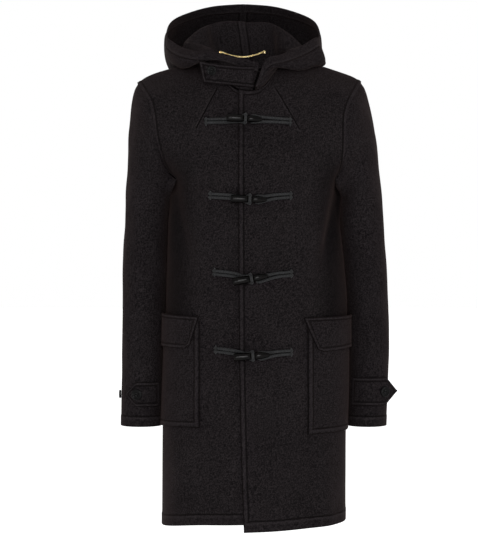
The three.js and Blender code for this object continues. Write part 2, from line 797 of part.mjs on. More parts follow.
// A patch that lies on a front between its front edge and its side end. u runs from the
// front edge to the side, v upwards; edge(v) is the front edge's x.
function onPanel(side, edge, end, low, high, out) {
  const sign = side === "left" ? 1 : -1;
  return (u, v) => {
    const z = lerp(low(u), high(u), v);
    const start = turnAt(edge(v), z);
    const finish = (sign * Math.PI * end) / 2;
    return lifted(side === "left" ? lapped : body, lerp(start, finish, u), z, out);
  };
}
const pocketPoint = (side) => {
  const { front, side: end, top, low, lowSide } = POCKET[side];
  return onPanel(side, () => front, end, (u) => lerp(low, lowSide, u), () => top, LIE + CLOTH);
};
const flapPoint = (side) => {
  const { top, corner, side: end, high, highSide, low, lowSide } = FLAP[side];
  return onPanel(
    side,
    (v) => lerp(corner, top, v),
    end,
    (u) => lerp(low, lowSide, u),
    (u) => lerp(high, highSide, u),
    2 * (LIE + CLOTH),
  );
};

const strapLength = (side) => {
  const { leave, free, end } = STRAP[side];
  return free + THREE.MathUtils.degToRad(end - leave) * STRAP_RADIUS;
};

// A cuff strap. u runs from its point to its inner end, v upwards.
function strapPoint(side) {
  const { leave, free, end, high, low, point } = STRAP[side];
  const sleeve = sleevePoint(side);
  const total = strapLength(side);
  const onSleeve = (turn, z) => {
    const v = clamp((z + 532) / -134, 0, 1) * 0.16 + 0.84;
    const p = sleeve(turn / 360, v);
    const ahead = sleeve(turn / 360 + 1e-3, v);
    const along = ahead.sub(p).setZ(0).normalize();
    const outside = vec(along.y, -along.x, 0).multiplyScalar(side === "left" ? -1 : 1);
    p.z = z;
    return { p: p.addScaledVector(outside, LIE + CLOTH), along };
  };
  return (u, v) => {
    const distance = u * total;
    const half = ((high - low) / 2) * Math.max(0.06, Math.min(1, distance / point));
    const z = (high + low) / 2 + (2 * v - 1) * half;
    if (distance < free) {
      const { p, along } = onSleeve(leave, z);
      return p.addScaledVector(along, distance - free);
    }
    const share = (distance - free) / (total - free);
    return onSleeve(lerp(leave, end, share), z).p;
  };
}

// A button: a dished disc with a rounded rim, its back on the ground plane facing down.
function buttonShape(radius) {
  const thick = BUTTON.thick;
  const outline = [
    [0, 0],
    [radius * 0.9, 0],
    [radius, thick * 0.3],
    [radius, thick * 0.7],
    [radius * 0.92, thick],
    [radius * 0.76, thick],
    [radius * 0.66, thick * 0.75],
    [0, thick * 0.75],
  ];
  return new THREE.LatheGeometry(outline.map(([r, y]) => new THREE.Vector2(r, y)), 18);
}

function toggleShape() {
  const outline = TOGGLE_OUTLINE.map(([along, radius]) => new THREE.Vector2(radius, along));
  return new THREE.LatheGeometry(outline, 12).rotateZ(-Math.PI / 2);
}

// A round cord along a list of places.
function cordShape(places, diameter, steps, sides) {
  const section = new THREE.Shape();
  for (let i = 0; i < sides; i += 1) {
    const angle = (i / sides) * 2 * Math.PI;
    const [x, y] = [(Math.cos(angle) * diameter) / 2, (Math.sin(angle) * diameter) / 2];
    if (i === 0) section.moveTo(x, y);
    else section.lineTo(x, y);
  }
  const path = new THREE.CatmullRomCurve3(places, false, "centripetal");
  return new THREE.ExtrudeGeometry(section, { steps, extrudePath: path, bevelEnabled: false });
}

const coat = new THREE.Group();
function add(name, geometry, material) {
  const mesh = new THREE.Mesh(geometry, material);
  mesh.name = name;
  coat.add(mesh);
  return mesh;
}

// Puts a shape made round the Y axis at a place, with its +Y along a direction.
function face(mesh, place, direction) {
  mesh.position.copy(place);
  mesh.quaternion.setFromUnitVectors(vec(0, 1, 0), direction.clone().normalize());
}
const flipped = (point) => (u, v) => point(1 - u, v);

// Where a panel meets its neighbour at the side or on the shoulder, its edge is kept square.
// At the armhole it follows the body without its folds, as the sleeve's edge does.
function squareEdge(side, isBack, isSide, isShoulder, v, n) {
  if (isShoulder || (isSide && v < LOWER + 1e-6)) return n.setY(0);
  if (!isSide) return n;
  const share = clamp((v - LOWER) / (1 - LOWER), 2e-3, 1 - 2e-3);
  return outsideOf(unfolded, ...armhole(side, isBack)(share));
}
const squareFront = (side) => (u, v, n) =>
  squareEdge(side, false, u > 0.999, v > 0.999 && u > NECK_SHARE - 1e-3, v, n);
function squareBack(u, v, n) {
  const isShoulder = v > 0.999 && Math.abs(u - 0.5) > 0.499 - SHOULDER_SHARE;
  return squareEdge(u < 0.5 ? "left" : "right", true, Math.abs(u - 0.5) > 0.499, isShoulder, v, n);
}
const squareMiddle = (u, v, n) => (u < 0.001 ? n.setX(0) : n);

function addPanels() {
  const left = frontPoint("left");
  add("front_left", wall(left, FRONT_COLUMNS, PANEL_ROWS, { trim: squareFront("left") }), wool());
  const trim = (u, v, n) => squareFront("right")(1 - u, v, n);
  const right = flipped(frontPoint("right"));
  add("front_right", wall(right, FRONT_COLUMNS, PANEL_ROWS, { trim }), wool());
  add("back", wall(backPoint(), BACK_COLUMNS, PANEL_ROWS, { trim: squareBack }), wool());
}

function addSleeves() {
  for (const side of ["right", "left"]) {
    const point = sleevePoint(side);
    const ring = armholeRing(side);
    const turn = (u) => (side === "left" ? u : -u);
    const trim = (u, v, n) => {
      const { outside, squared } = ring(turn(u));
      return n.lerp(outside, squared * (1 - smooth(0, 0.1, v)));
    };
    const options = { round: true, trim };
    const shape = wall((u, v) => point(turn(u), v), SLEEVE_COLUMNS, SLEEVE_ROWS, options);
    add("sleeve_" + side, shape, wool());
  }
}

function addHood() {
  const trimRight = (u, v, n) => squareMiddle(1 - u, v, n);
  add("hood_left", wall(hoodPoint("left"), HOOD_COLUMNS, HOOD_ROWS, { trim: squareMiddle }), wool());
  const right = flipped(hoodPoint("right"));
  add("hood_right", wall(right, HOOD_COLUMNS, HOOD_ROWS, { trim: trimRight }), wool());
}

function addTrims() {
  add("throat_tab", wall(tabPoint, 10, 3), wool());
  for (const side of ["right", "left"]) {
    const turned = side === "left" ? (point) => point : flipped;
    add("pocket_" + side, wall(turned(pocketPoint(side)), 8, 6), wool());
    add("flap_" + side, wall(turned(flapPoint(side)), 8, 3), wool());
    const strap = strapPoint(side);
    const facing = side === "left" ? flipped(strap) : strap;
    add("cuff_strap_" + side, wall(facing, 10, 2), wool());
  }
}

// A toggle's cord: a hairpin sewn to the under front, bent round the toggle's waist.
// The loop: a hairpin sewn to the over front, bent round behind the toggle.
function addToggle(number) {
  const { x, z, tilt, cordX, cordZ, loopX, loopZ } = TOGGLES[number - 1];
  const behind = onFront(lapped, x, z, CORD_SEAT + CORD / 2);
  const stand = CORD / 2 + 0.4 + 7.2;
  const middle = behind.clone().add(vec(0, -stand, 0));
  const toggle = add("toggle_" + number, toggleShape(), horn());
  toggle.position.copy(middle);
  toggle.rotation.y = -THREE.MathUtils.degToRad(tilt);

  const under = (px, pz) => {
    const low = onFront(body, px, pz, CORD_SEAT + CORD / 2);
    low.y = lerp(low.y, behind.y, smooth(-47, -29, px));
    return low;
  };
  const over = (px, pz) => onFront(lapped, px, pz, CORD_SEAT + CORD / 2);
  const ring = 4.4 + 0.6 + CORD / 2;
  const half = CORD_PITCH / 2;
  const lean = Math.tan(THREE.MathUtils.degToRad(tilt));
  const centre = middle.z;
  const strand = (sign) => [
    under(cordX, cordZ + sign * half),
    under(lerp(cordX, x, 0.45), lerp(cordZ, z, 0.3) + sign * half),
    under(x - 15, lerp(cordZ, z, 0.85) + sign * half),
    vec(x - 6, behind.y - 0.6, centre + sign * (half + 1.6)),
    vec(x - 1 - sign * ring * lean, lerp(behind.y, middle.y, 0.55), centre + sign * (ring + 0.1)),
    vec(x - sign * ring * lean, middle.y, centre + sign * ring),
    vec(x - sign * ring * 0.66 * lean, middle.y - ring * 0.75, centre + sign * ring * 0.66),
  ];
  const front = vec(x, middle.y - ring, centre);
  const round = [...strand(1), front, ...strand(-1).reverse()];
  add("toggle_cord_" + number, cordShape(round, CORD, 26, 6), cordFinish());

  const arm = (sign) => [
    over(loopX, loopZ + sign * half),
    over(lerp(loopX, x, 0.4), lerp(loopZ, z, 0.35) + sign * (half + 0.6)),
    over(x + 26, lerp(loopZ, z, 0.8) + sign * (half + 1.2)),
    over(x + 15, z + sign * 5.6),
    over(x + 10, z + sign * 4.4),
  ];
  const loop = [...arm(1), over(x + 8, z), ...arm(-1).reverse()];
  add("loop_cord_" + number, cordShape(loop, CORD, 18, 6), cordFinish());
}

function addButtons() {
  const tab = tabAt(THROAT_BUTTON.x, THROAT_BUTTON.z);
  const throat = add("button_throat", buttonShape(THROAT_BUTTON.radius), shiny());
  face(throat, tab.place.addScaledVector(tab.outside, SEAT), tab.outside);
  for (const side of ["right", "left"]) {
    const strap = strapPoint(side);
    const u = STRAP_BUTTON[side] / strapLength(side);
    const place = strap(u, 0.5);
    const along = strap(u + 0.02, 0.5).sub(strap(u - 0.02, 0.5));
    const outside = vec(along.y, -along.x, 0).multiplyScalar(side === "left" ? -1 : 1).normalize();
    const button = add("button_cuff_" + side, buttonShape(BUTTON.radius), shiny());
    face(button, place.addScaledVector(outside, SEAT), outside);
  }
  const sleeve = sleevePoint("right");
  const outside = vec(-1, 0, 0);
  const spare = add("button_spare_right", buttonShape(SPARE_BUTTON.radius), shiny());
  face(spare, sleeve(SPARE_BUTTON.turn / 360, SPARE_BUTTON.at).addScaledVector(outside, SEAT), outside);
}

// The chain hangs between two fixings sewn to the inside of the collar.
function addHanger() {
  const { radius, thick } = CHAIN_FIXING;
  const ends = ["right", "left"].map((side) => {
    const point = hoodPoint(side);
    const { along, up } = CHAIN_END[side];
    const out = outsideOf(point, along, up).multiplyScalar(side === "left" ? 1 : -1);
    const place = point(along, up).addScaledVector(out, LIE);
    const fixing = new THREE.CylinderGeometry(radius, radius, thick, 12);
    const mesh = add("hanger_end_" + side, fixing, gold());
    face(mesh, place.clone().addScaledVector(out, thick / 2), out);
    return place.addScaledVector(out, CHAIN_FIXING.thick + SEAT + CHAIN / 2);
  });
  const [from, to] = ends;
  const places = [];
  for (let i = 0; i <= 10; i += 1) {
    const share = i / 10;
    const p = from.clone().lerp(to, share);
    const dip = 4 * share * (1 - share);
    places.push(p.add(vec(0, -CHAIN_FORWARD * Math.sqrt(dip), -CHAIN_SAG * dip)));
  }
  add("hanger_chain", cordShape(places, CHAIN, 16, 6), gold());
}

addPanels();
addSleeves();
addHood();
addTrims();
for (let number = 1; number <= TOGGLES.length; number += 1) addToggle(number);
addButtons();
addHanger();

export default coat;
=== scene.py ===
"""A duffle coat of near-black melton, filled out and worn by no one.

Shapes are worked out in millimetres, on the same named sizes as the solids, and each mesh is
made in metres. +Z is up, the front is towards -Y, and right and left are the wearer's.
"""
import math

import bpy
import numpy as np
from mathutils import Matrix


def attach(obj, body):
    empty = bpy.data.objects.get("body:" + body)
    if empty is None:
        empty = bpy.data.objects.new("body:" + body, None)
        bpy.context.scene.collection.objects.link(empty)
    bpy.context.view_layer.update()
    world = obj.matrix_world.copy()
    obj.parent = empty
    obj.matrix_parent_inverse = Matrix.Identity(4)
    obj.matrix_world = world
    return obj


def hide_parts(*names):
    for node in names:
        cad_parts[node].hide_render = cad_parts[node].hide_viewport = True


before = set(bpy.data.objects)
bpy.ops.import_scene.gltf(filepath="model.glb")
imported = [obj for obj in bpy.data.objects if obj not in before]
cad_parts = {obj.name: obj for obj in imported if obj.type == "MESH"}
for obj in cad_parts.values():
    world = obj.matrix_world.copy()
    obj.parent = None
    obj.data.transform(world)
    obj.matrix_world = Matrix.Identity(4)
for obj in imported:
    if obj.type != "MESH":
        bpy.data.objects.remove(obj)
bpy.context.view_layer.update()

MM = 0.001
RIGHT_ANGLE = math.pi / 2
FULL_TURN = 2 * math.pi
SIGN = {"right": -1, "left": 1}
PITCH = 3.4  # between grid lines of the large pieces

# Cloth and seams
CLOTH = 3.0
GAP = -0.8  # pieces sewn edge to edge run a little into each other
NECK_GAP = 0.6
LIE = 0.9  # between a piece of cloth and the panel it lies on
SEAT = 0.3  # between a small piece and what it is sewn to
HEM_TURN = 19.0  # stitch line above the hem and the cuffs
EDGE_TURN = 9.2  # stitch line beside the front edge
ARMHOLE_TURN = 7.0
POCKET_TURN = 10.0
STRAP_TURN = 6.5
RIM_TURN = 19.0
NECK_TURN = 8.0
TAB_TURN = 6.0
FLAP_TURN = dict(start=7.0, low=7.0, high=6.0)
FAR_OFF = 60.0  # a field's value where its line is out of reach
NO_LINE = -60.0  # in place of a turn, where an edge has no stitch line
NO_ARMHOLE = -600.0
# How far double cloth stands up at hem, seams, front edge and neck, and at small pieces
HEM_RAISED, SEAM_RAISED, EDGE_RAISED, NECK_RAISED, SMALL_RAISED = 0.7, 1.5, 0.6, 0.5, 0.4

# Body
SHOULDER_DROP = 49.0
SHOULDER_TURN = 7.0
SHOULDER_SPAN = 138.0
NECK_SIDE = 62.0
SHOULDER_ROLL = 64.0
SLOPE_DEPTH = 150.0
SQUARENESS = 2.6
UNDERARM = -240.0
NECK_DEPTH_FRONT = 75.0
NECK_HALF = 72.0
NECK_REACH = NECK_HALF - 0.001
NECK_CENTRE = -4.0
NECK_DEPTH_BACK = 22.0
LAP = 4.3
LAP_FADE = (40, 110)  # from this x to that the over front's lap fades out
FRONT_EDGE_TOP = -20.8
FRONT_EDGE_HEM = -11.5
UNDER_EDGE_TOP = 20.0
UNDER_EDGE_HEM = 44.0
NECK_SHARE = 6 / 14
SHOULDER_SHARE = 0.3
LOWER = 0.6
HEM_MIDDLE = -835.5
HEM_TILT = 0.033
HEM_HALF = 160.0
HEM_DIP = 3.0
UNDER_HEM_RISE = 9.0
BACK_ARMHOLE_OUT = 7.0
ARMHOLE_GAP = -2.4
UNDERARM_LIFT = 1.8
SLEEVE_BLEND = 0.3
FOLD_PULL = 0.45  # share of a fold's depth that goes sideways
CREASE_BOW = 5.0
BODY_CRUMPLE = (0.8, 5)  # height of the uneven waves, seed
SLEEVE_CRUMPLE = (0.9, 11)
HOOD_CRUMPLE = (1.1, 23)

# level, half width, front reach, back reach, x of the middle
BODY = [
    (0, 228, 46, 66, -1), (-60, 220, 79, 90, 0), (-124, 208, 101, 104, 5),
    (-164, 194, 111, 109, 9), (-190, 180, 115, 110, 11), (-213, 163, 118, 110, 13),
    (-240, 151, 120, 109, 12.3), (-255, 154.4, 120, 107.5, 10.8), (-272, 153.8, 120, 106, 9.2),
    (-306, 154.6, 120, 103, 7.7), (-387, 159.9, 119, 100, 10.2), (-441, 162.7, 120, 103, 11.4),
    (-531, 163.5, 124, 111, 10.9), (-600, 164.5, 127, 117, 9.5), (-666, 164.4, 129, 120, 7.6),
    (-850, 164.5, 134, 124, 6.5),
]

# x, z of the armhole seam on the front, from the shoulder down
ARMHOLE = {
    "right": [(-203, -49), (-194, -64), (-178, -90), (-170, -124), (-163, -164), (-155, -190),
              (-144, -213), (-133, -227)],
    "left": [(200, -49), (188, -71), (175, -96), (169, -124), (167, -160), (164, -190),
             (160, -213), (154, -229)],
}

# Drape folds: x, z of the top end, x, z of the low end, width, depth
FRONT_FOLDS = [
    (168, -212, 126, -398, 13, 19), (-140, -212, -106, -392, 12, 8),
    (-96, -640, -70, -850, 26, 4), (104, -660, 92, -850, 24, 4.5),
]
BACK_FOLDS = [
    (128, -215, 84, -420, 17, 9), (-112, -215, -82, -400, 16, 7.5), (44, -520, 62, -850, 26, 6),
    (-52, -560, -74, -850, 24, 5),
]

# Softer waves of the cloth: x, z of the top end, x, z of the low end, width, height
FRONT_WAVES = [
    (-84, -250, -84, -470, 15, 2.6), (92, -250, 90, -470, 16, 2.4),
    (-150, -250, -132, -430, 9, 1.6), (118, -232, 60, -330, 12, -1.8),
    (-108, -236, -58, -320, 13, -1.6), (-128, -120, -96, -210, 16, -1.5),
    (132, -118, 112, -215, 15, -1.4), (40, -560, 34, -850, 18, 1.3),
    (-46, -600, -42, -850, 16, -1.2), (128, -690, 138, -850, 13, 1.8),
    (-126, -680, -122, -850, 15, 1.7),
]
BACK_WAVES = [
    (150, -232, 92, -372, 10, 2.2), (-140, -236, -96, -352, 11, -2.0),
    (70, -90, 96, -200, 18, -1.8), (-62, -84, -104, -196, 16, -1.6),
    (-14, -260, -2, -470, 15, 1.5), (96, -470, 118, -850, 20, 3.2),
    (-24, -500, -16, -850, 18, 2.4), (-112, -540, -126, -850, 17, 2.6),
    (14, -640, 20, -850, 12, -1.8),
]

# along, outer x, z, inner x, z, front reach, back reach
SLEEVE = {
    "right": [
        (0, -203, -49, -135, -240, -62, 68), (0.08, -211, -78, -138, -245, -66, 74),
        (0.2, -217, -125, -141, -252, -64, 75), (0.34, -220, -190, -145, -272, -58, 73),
        (0.5, -224, -280, -148, -324, -51, 69), (0.66, -229, -400, -150.5, -416, -46, 64),
        (0.84, -230.5, -532, -155.5, -538, -42, 62), (1, -232, -666, -158.5, -666, -40, 62),
    ],
    "left": [
        (0, 200, -49, 163, -240, -66, 68), (0.08, 211, -78, 164, -245, -68, 74),
        (0.2, 221.5, -122, 164.5, -252, -65, 75), (0.34, 231, -194, 163.5, -272, -58, 73),
        (0.5, 239, -285, 163, -322, -51, 69), (0.66, 247, -408, 173, -416, -46, 64),
        (0.84, 250, -536, 177, -538, -42, 62), (1, 245, -666, 174.5, -666, -40, 62),
    ],
}
SLEEVE_ROUND = 350.0
SLEEVE_LENGTH = 620.0
SLEEVE_LOW = (0.84, -532.0, -666.0)  # share and z where the straps' part starts, z of the cuff

# Sleeve creases: turn, along of one end, turn, along of the other, width, height
SLEEVE_CREASES = {
    "right": [
        (0.34, 0.06, 0.25, 0.3, 13, -2.6), (0.44, 0.16, 0.30, 0.36, 9, -2.2),
        (0.40, 0.36, 0.22, 0.47, 9, -1.8), (0.42, 0.47, 0.16, 0.55, 10, 1.6),
        (0.36, 0.60, 0.14, 0.66, 11, -1.3), (0.22, 0.20, 0.20, 0.72, 15, 1.6),
        (0.66, 0.08, 0.78, 0.30, 13, -2.4), (0.58, 0.34, 0.84, 0.44, 10, -2.2),
        (0.60, 0.50, 0.86, 0.56, 9, 2.0), (0.62, 0.62, 0.80, 0.70, 12, -1.6),
    ],
    "left": [
        (0.33, 0.05, 0.24, 0.28, 12, -2.4), (0.45, 0.14, 0.34, 0.36, 9, -2.4),
        (0.42, 0.40, 0.20, 0.52, 10, -1.7), (0.40, 0.54, 0.18, 0.60, 9, 1.5),
        (0.24, 0.24, 0.22, 0.76, 16, 1.7), (0.67, 0.07, 0.76, 0.28, 12, -2.6),
        (0.57, 0.30, 0.82, 0.41, 10, -2.0), (0.61, 0.46, 0.88, 0.53, 9, 1.8),
        (0.60, 0.58, 0.82, 0.67, 11, -1.8),
    ],
}

# Hood profiles, from the back middle at 0 to the front end at 1. After along, and the x of the
# neck seam, each gives the places of collar, ridge, valley, sole, belly, crown and rim.
HOOD_CENTRE = (-9, -16, -13, -12.5, -12.5, -12.5, -12.5)
HOOD_BACK = [
    (0, 0, (0, 61, 26), (0, 76, 71), (0, 100, 20), (0, 120, -86), (0, 176, -12), (0, 163, 68),
     (0, 128, 112)),
    (0.15, 43, (46, 56, 25), (46, 70, 69), (56, 92, 18), (62, 112, -80), (72, 164, -12),
     (70, 152, 65), (58, 122, 106)),
    (0.29, 66, (60, 31, 21), (70, 42, 56), (92, 56, 12), (104, 84, -50), (124, 112, -8),
     (122, 108, 52), (106, 94, 88)),
    (0.41, 72, (74, 8, 14), (90, 20, 38), (108, 27, 6), (126, 42, -23), (139, 60, -3),
     (140, 58, 36), (131, 50, 66)),
]
NECK_SIDE_AT = 0.41
HOOD_FRONT = {
    "right": [
        (0.53, -75, (-90, -12, 8), (-116, -3, 23), (-125, -3, -3), (-135, -2, -15.5),
         (-147, 8, -2), (-149.5, 8, 18), (-149.5, 10, 36)),
        (0.65, -70, (-80, -34, -3), (-101, -22, 19), (-112, -26, -4), (-122, -30, -25),
         (-139, -24, -10), (-141, -20, 6), (-137, -18, 21)),
        (0.76, -60, (-66, -60, -20), (-82, -46, 11), (-98, -50, -7), (-108, -57, -26),
         (-121, -54, -15), (-123, -50, -4), (-117, -47, 6)),
        (0.85, -46, (-51, -79, -38), (-62, -75, -3), (-71, -80, -11), (-79, -84, -20),
         (-88, -84, -16), (-90, -82, -11), (-87, -80, -6)),
        (0.92, -28, (-32, -84.5, -50), (-38, -90, -36), (-41, -92, -28), (-44, -93, -22),
         (-47, -94, -17), (-49, -94, -13), (-51, -93, -9)),
        (1, 5, (5.4, -84.5, -64), (8, -88.5, -56), (11, -92, -48), (13, -94.5, -42),
         (14, -96, -36), (14, -97, -31), (14, -97.5, -26)),
    ],
    "left": [
        (0.53, 67, (76, -12, 9), (93, -3, 18), (108, -2, -6), (130, 0, -15.5), (131, 8, -8),
         (126, 10, 14), (125, 10, 36)),
        (0.65, 62, (67, -34, -2), (84, -24, 10), (96, -28, -8), (112, -33, -22.5),
         (126, -28, -14), (122, -24, 6), (112, -20, 26)),
        (0.76, 50, (53, -62, -19), (64, -56, -3), (73, -59, -15), (83, -62, -32),
         (95, -59, -23), (92, -54, -9), (83, -48, 5)),
        (0.86, 30, (31, -86, -50), (34, -87, -39), (39, -89, -33), (48, -90, -31),
         (56, -86, -26), (55, -82, -18), (50, -78, -11)),
        (0.93, 19, (20, -92, -62.5), (21, -94, -54), (23, -97, -46), (27, -99.5, -38),
         (30, -100.5, -31), (30, -99, -26), (27, -97, -21)),
        (1, 9, (9.2, -95, -70.6), (9.3, -97.5, -70.2), (9.4, -99, -69.8), (9.2, -99, -69.4),
         (9.3, -101, -68), (9.4, -102.5, -66), (9.6, -104, -64)),
    ],
}

# Upright folds beside the hood's centre seam: x, width, height
HOOD_FOLDS = {"right": ((-69, 7, -2.2), (-36, 13, 1.2)), "left": ((41, 9, -1.6), (10, 12, 1.0))}

TAB = dict(right=6.2, left=-90.0, left_low=-82.0, top_right=-33.0, top_left=-22.0,
           low_right=-69.0, low_left=-60.0)
TAB_FACE = dict(low=-93.1, top=-103.1, left=-94.1)

# x, z of the waist, tilt, x, z of the cord's sewn end, x, z of the loop's sewn end
TOGGLES = [
    (-8.5, -127, -3, -80, -129, 72, -130), (-1, -265.2, -2, -72, -258, 72, -258),
    (1.5, -402, 10, -65, -391, 73, -393), (4, -535, 4, -63, -525, 73, -529),
]
# Distance along a toggle from its waist, and radius
TOGGLE_OUTLINE = [
    (-33, 0), (-33, 5.2), (-32.2, 6.4), (-30, 6.95), (-22, 7.2), (-14, 6.95), (-8, 6.5),
    (-4.2, 5.8), (-2.4, 4.5), (0, 4.25), (2.4, 4.5), (4.2, 5.6), (7, 6.1), (12, 6.05), (18, 5.3),
    (24, 4.2), (27.5, 3.2), (29.2, 1.8), (29.5, 0),
]
CORD = 5.2
CORD_PITCH = 5.7
CORD_SEAT = 0.35 + CORD / 2
WAIST = 4.3
TOGGLE_RADIUS = 7.2
TACK_REACH, TACK_HALF, TACK_THICK = 7.6, 1.5, 1.1  # rows of stitches over a cord pair

# x of the front edge at its low and its high end, share of a quarter turn at the side, z of the
# low edge at front and side, z of the high edge at front and side, rise of the low front corner
POCKET = {
    "right": (-87, -87, 0.95, -660, -663, -476, -476, 0),
    "left": (98, 98, 0.95, -672, -669, -480, -480, 0),
}
FLAP = {
    "right": (-101, -87, 0.92, -524, -522, -468, -463, 8),
    "left": (114, 90, 0.92, -530, -523, -470, -466, 5),
}
CORNER_SHARE = 0.11

# Turns in degrees, lengths in mm: where it leaves the sleeve, its free length, where it ends
STRAP = {
    "right": dict(leave=57, free=9, end=142, high=-586, low=-630, point=26),
    "left": dict(leave=60, free=38, end=140, high=-578, low=-628, point=26),
}
STRAP_RADIUS = 46.0
STRAP_BUTTON = {"right": 28.0, "left": 30.0}
BUTTON_RADIUS = 9.6
BUTTON_THICK = 3.6
THROAT_BUTTON = (-66.5, -39.5, 8.3)
SPARE_BUTTON = (0.934, 4.0, 7.4)

CHAIN = 3.2
CHAIN_SAG = 10.5
CHAIN_FORWARD = 8.0
CHAIN_FIXING = (2.8, 1.6)
LINK = (2.15, 1.15, 0.52)  # half length, half width, radius of the wire
LINK_PITCH = 2.5
LINK_SIDES = 24
WIRE_SIDES = 8
CHAIN_END = {"right": (0.17, 0.091), "left": (0.106, 0.098)}

# Neck darts: x, z of the top and of the low end
DARTS = {"right": (-58, -69, -95, -142), "left": (44, -69, 85.5, -142)}

# Wool colours: a painted highlight beside stitches and darts, painted shade in grooves, folds and
# beside the sleeves, and under thread
PAINTED_HIGHLIGHT_WOOL = (0.036, 0.031, 0.033, 1)
PAINTED_SHADE_WOOL = (0.0006, 0.0005, 0.0005, 1)
SEWN_WOOL = (0.007, 0.006, 0.0065, 1)

# The stage in metres. Each light: name, place, the point it faces, power in W, width
FLOOR_HALF = 30.0
FLOOR_LEVEL = -1.15
CAMERA_DISTANCE = 3.0
VIEW_HEIGHT = 0.972
SOFT_BOXES = (
    ("soft_box_front", (0.15, -3.7, 0.3), (0, 0, -0.4), 56, 0.9),
    ("soft_box_low", (0.0, -2.4, -0.95), (0, 0, 0.05), 15, 0.8),
    ("soft_box_right", (2.8, -2.2, 0.4), (0, 0, -0.4), 8, 1.6),
    ("soft_box_left", (-2.9, -1.9, 0.6), (0, 0, -0.4), 5, 1.6),
)


# Small helpers on arrays

def smooth(low, high, value):
    """0 below low, 1 above high, and an even S between them."""
    t = np.clip((np.asarray(value, float) - low) / (high - low), 0, 1)
    return t * t * (3 - 2 * t)


def bell(offset, width):
    """1 at no offset and next to nothing beyond two widths."""
    return np.exp(-((offset / width) ** 2))


def mix(a, b, share):
    return a + (b - a) * share


def joined(*values):
    """Points, or pairs of turn and level, from an array for each of their numbers."""
    return np.stack(np.broadcast_arrays(*values), -1).astype(float)


def unit(v):
    return v / np.maximum(np.linalg.norm(v, axis=-1, keepdims=True), 1e-12)


def along(table, at):
    """The other columns of a table at any places of its first column. Between rows it runs on
    cubic pieces, whose slope at a row is that of the row's two neighbours."""
    table = np.asarray(table, float)
    if table[-1, 0] < table[0, 0]:
        table = table[::-1]
    knots, cells = table[:, 0], table[:, 1:]
    last = len(knots) - 1
    before, after = np.clip([np.arange(-1, last), np.arange(1, last + 2)], 0, last)
    slopes = (cells[after] - cells[before]) / (knots[after] - knots[before])[:, None]
    at = np.asarray(at, float)
    i = np.clip(np.searchsorted(knots, at, side="right") - 1, 0, last - 1)
    step = (knots[i + 1] - knots[i])[..., None]
    t = np.clip((at - knots[i])[..., None] / step, 0, 1)
    return (cells[i] * (1 - 3 * t**2 + 2 * t**3) + cells[i + 1] * (3 * t**2 - 2 * t**3)
            + slopes[i] * step * t * (1 - t) ** 2 - slopes[i + 1] * step * t * t * (1 - t))


def distances(line, power=1.0):
    """The sum of the steps up to each point of a line, each step raised to a power."""
    steps = np.linalg.norm(np.diff(line, axis=0), axis=1) ** power
    return np.concatenate([[0], np.cumsum(steps)])


def interpolated(at, run, line):
    """Places on a line of points at distances along it."""
    return np.stack([np.interp(at, run, column) for column in line.T], -1)


def across_of(axis):
    """Two directions across an axis and across each other."""
    first = unit(np.cross(axis, (0.3, 0.2, 1) if abs(axis[2]) < 0.8 else (1, 0.2, 0.3)))
    return first, np.cross(axis, first)


# The body

def slope_drop(x, level):
    """Height lost to the shoulder's slope at a distance from the middle. It fades out below."""
    share = np.maximum(0, np.abs(x) - NECK_SIDE) / SHOULDER_SPAN
    end = np.minimum(share, 1) ** 14
    drop = (SHOULDER_DROP - SHOULDER_TURN) * share**1.02 + SHOULDER_TURN * end
    return drop * smooth(-SLOPE_DEPTH, 0, level)


def level_at(x, z):
    """The level whose section passes through a place on the front or back."""
    level = np.asarray(z, float)
    for _ in range(30):
        level = z + slope_drop(x, level)
    return np.minimum(level, 0)


def ridges(rows, x, z):
    """The sum of long ridges: each is a bell curve across its line, faded in at the top end and
    out towards the low end."""
    height = np.zeros(np.broadcast(x, z).shape)
    for from_x, from_z, to_x, to_z, width, size in rows:
        share = (z - from_z) / (to_z - from_z)
        fade = smooth(-0.12, 0.12, share) * (1 - smooth(0.55, 1.05, share))
        height = height + size * fade * bell(x - mix(from_x, to_x, share), width)
    return height


def faces_front(turn):
    return np.abs(turn) <= RIGHT_ANGLE + 1e-9


def both_ridges(turn, front, back, x, z):
    """The ridges of the front's rows or of the back's, by the side that a turn is on."""
    return np.where(faces_front(turn), ridges(front, x, z), ridges(back, x, z))


def body(turn, height, folded=True):
    """The body's outer surface: at each level a squarish oval, whose reach to front and back
    rounds to nothing at the shoulder line. Drape folds press it in."""
    turn, height = np.broadcast_arrays(np.asarray(turn, float), np.asarray(height, float))
    level = np.minimum(height, 0)
    half, front, back, centre = np.moveaxis(along(BODY, level), -1, 0)
    round_off = np.sqrt(np.clip(1 - (1 + level / SHOULDER_ROLL) ** 2, 0, 1))
    depth = np.where(faces_front(turn), front, back)
    depth = depth * np.where(level > -SHOULDER_ROLL, round_off, 1)
    across = np.clip(np.abs(np.sin(turn)), 0, 1)
    reach = np.clip(1 - across**SQUARENESS, 0, 1) ** (1 / SQUARENESS)
    x = centre + half * np.sin(turn)
    z = level - slope_drop(x, level)
    fold = both_ridges(turn, FRONT_FOLDS, BACK_FOLDS, x, z) * smooth(0, 0.35, reach) * folded
    y = (GAP / 2 + np.maximum(depth * reach - fold, 0)) * np.where(faces_front(turn), -1, 1)
    return joined(x - fold * FOLD_PULL * across * np.sign(np.sin(turn)), y, z)


def turn_at(x, level, is_back=False):
    half, _, _, centre = np.moveaxis(along(BODY, level), -1, 0)
    turn = np.arcsin(np.clip((x - centre) / half, -1, 1))
    return np.where(np.asarray(x) < 0, -1, 1) * math.pi - turn if is_back else turn


def outside_of(surface, turn, level):
    """The outward side of a surface of turn and level, from its two slopes."""
    across = surface(turn + 1e-3, level) - surface(turn - 1e-3, level)
    up = surface(turn, level + 0.1) - surface(turn, level - 0.1)
    return unit(np.cross(across, up))


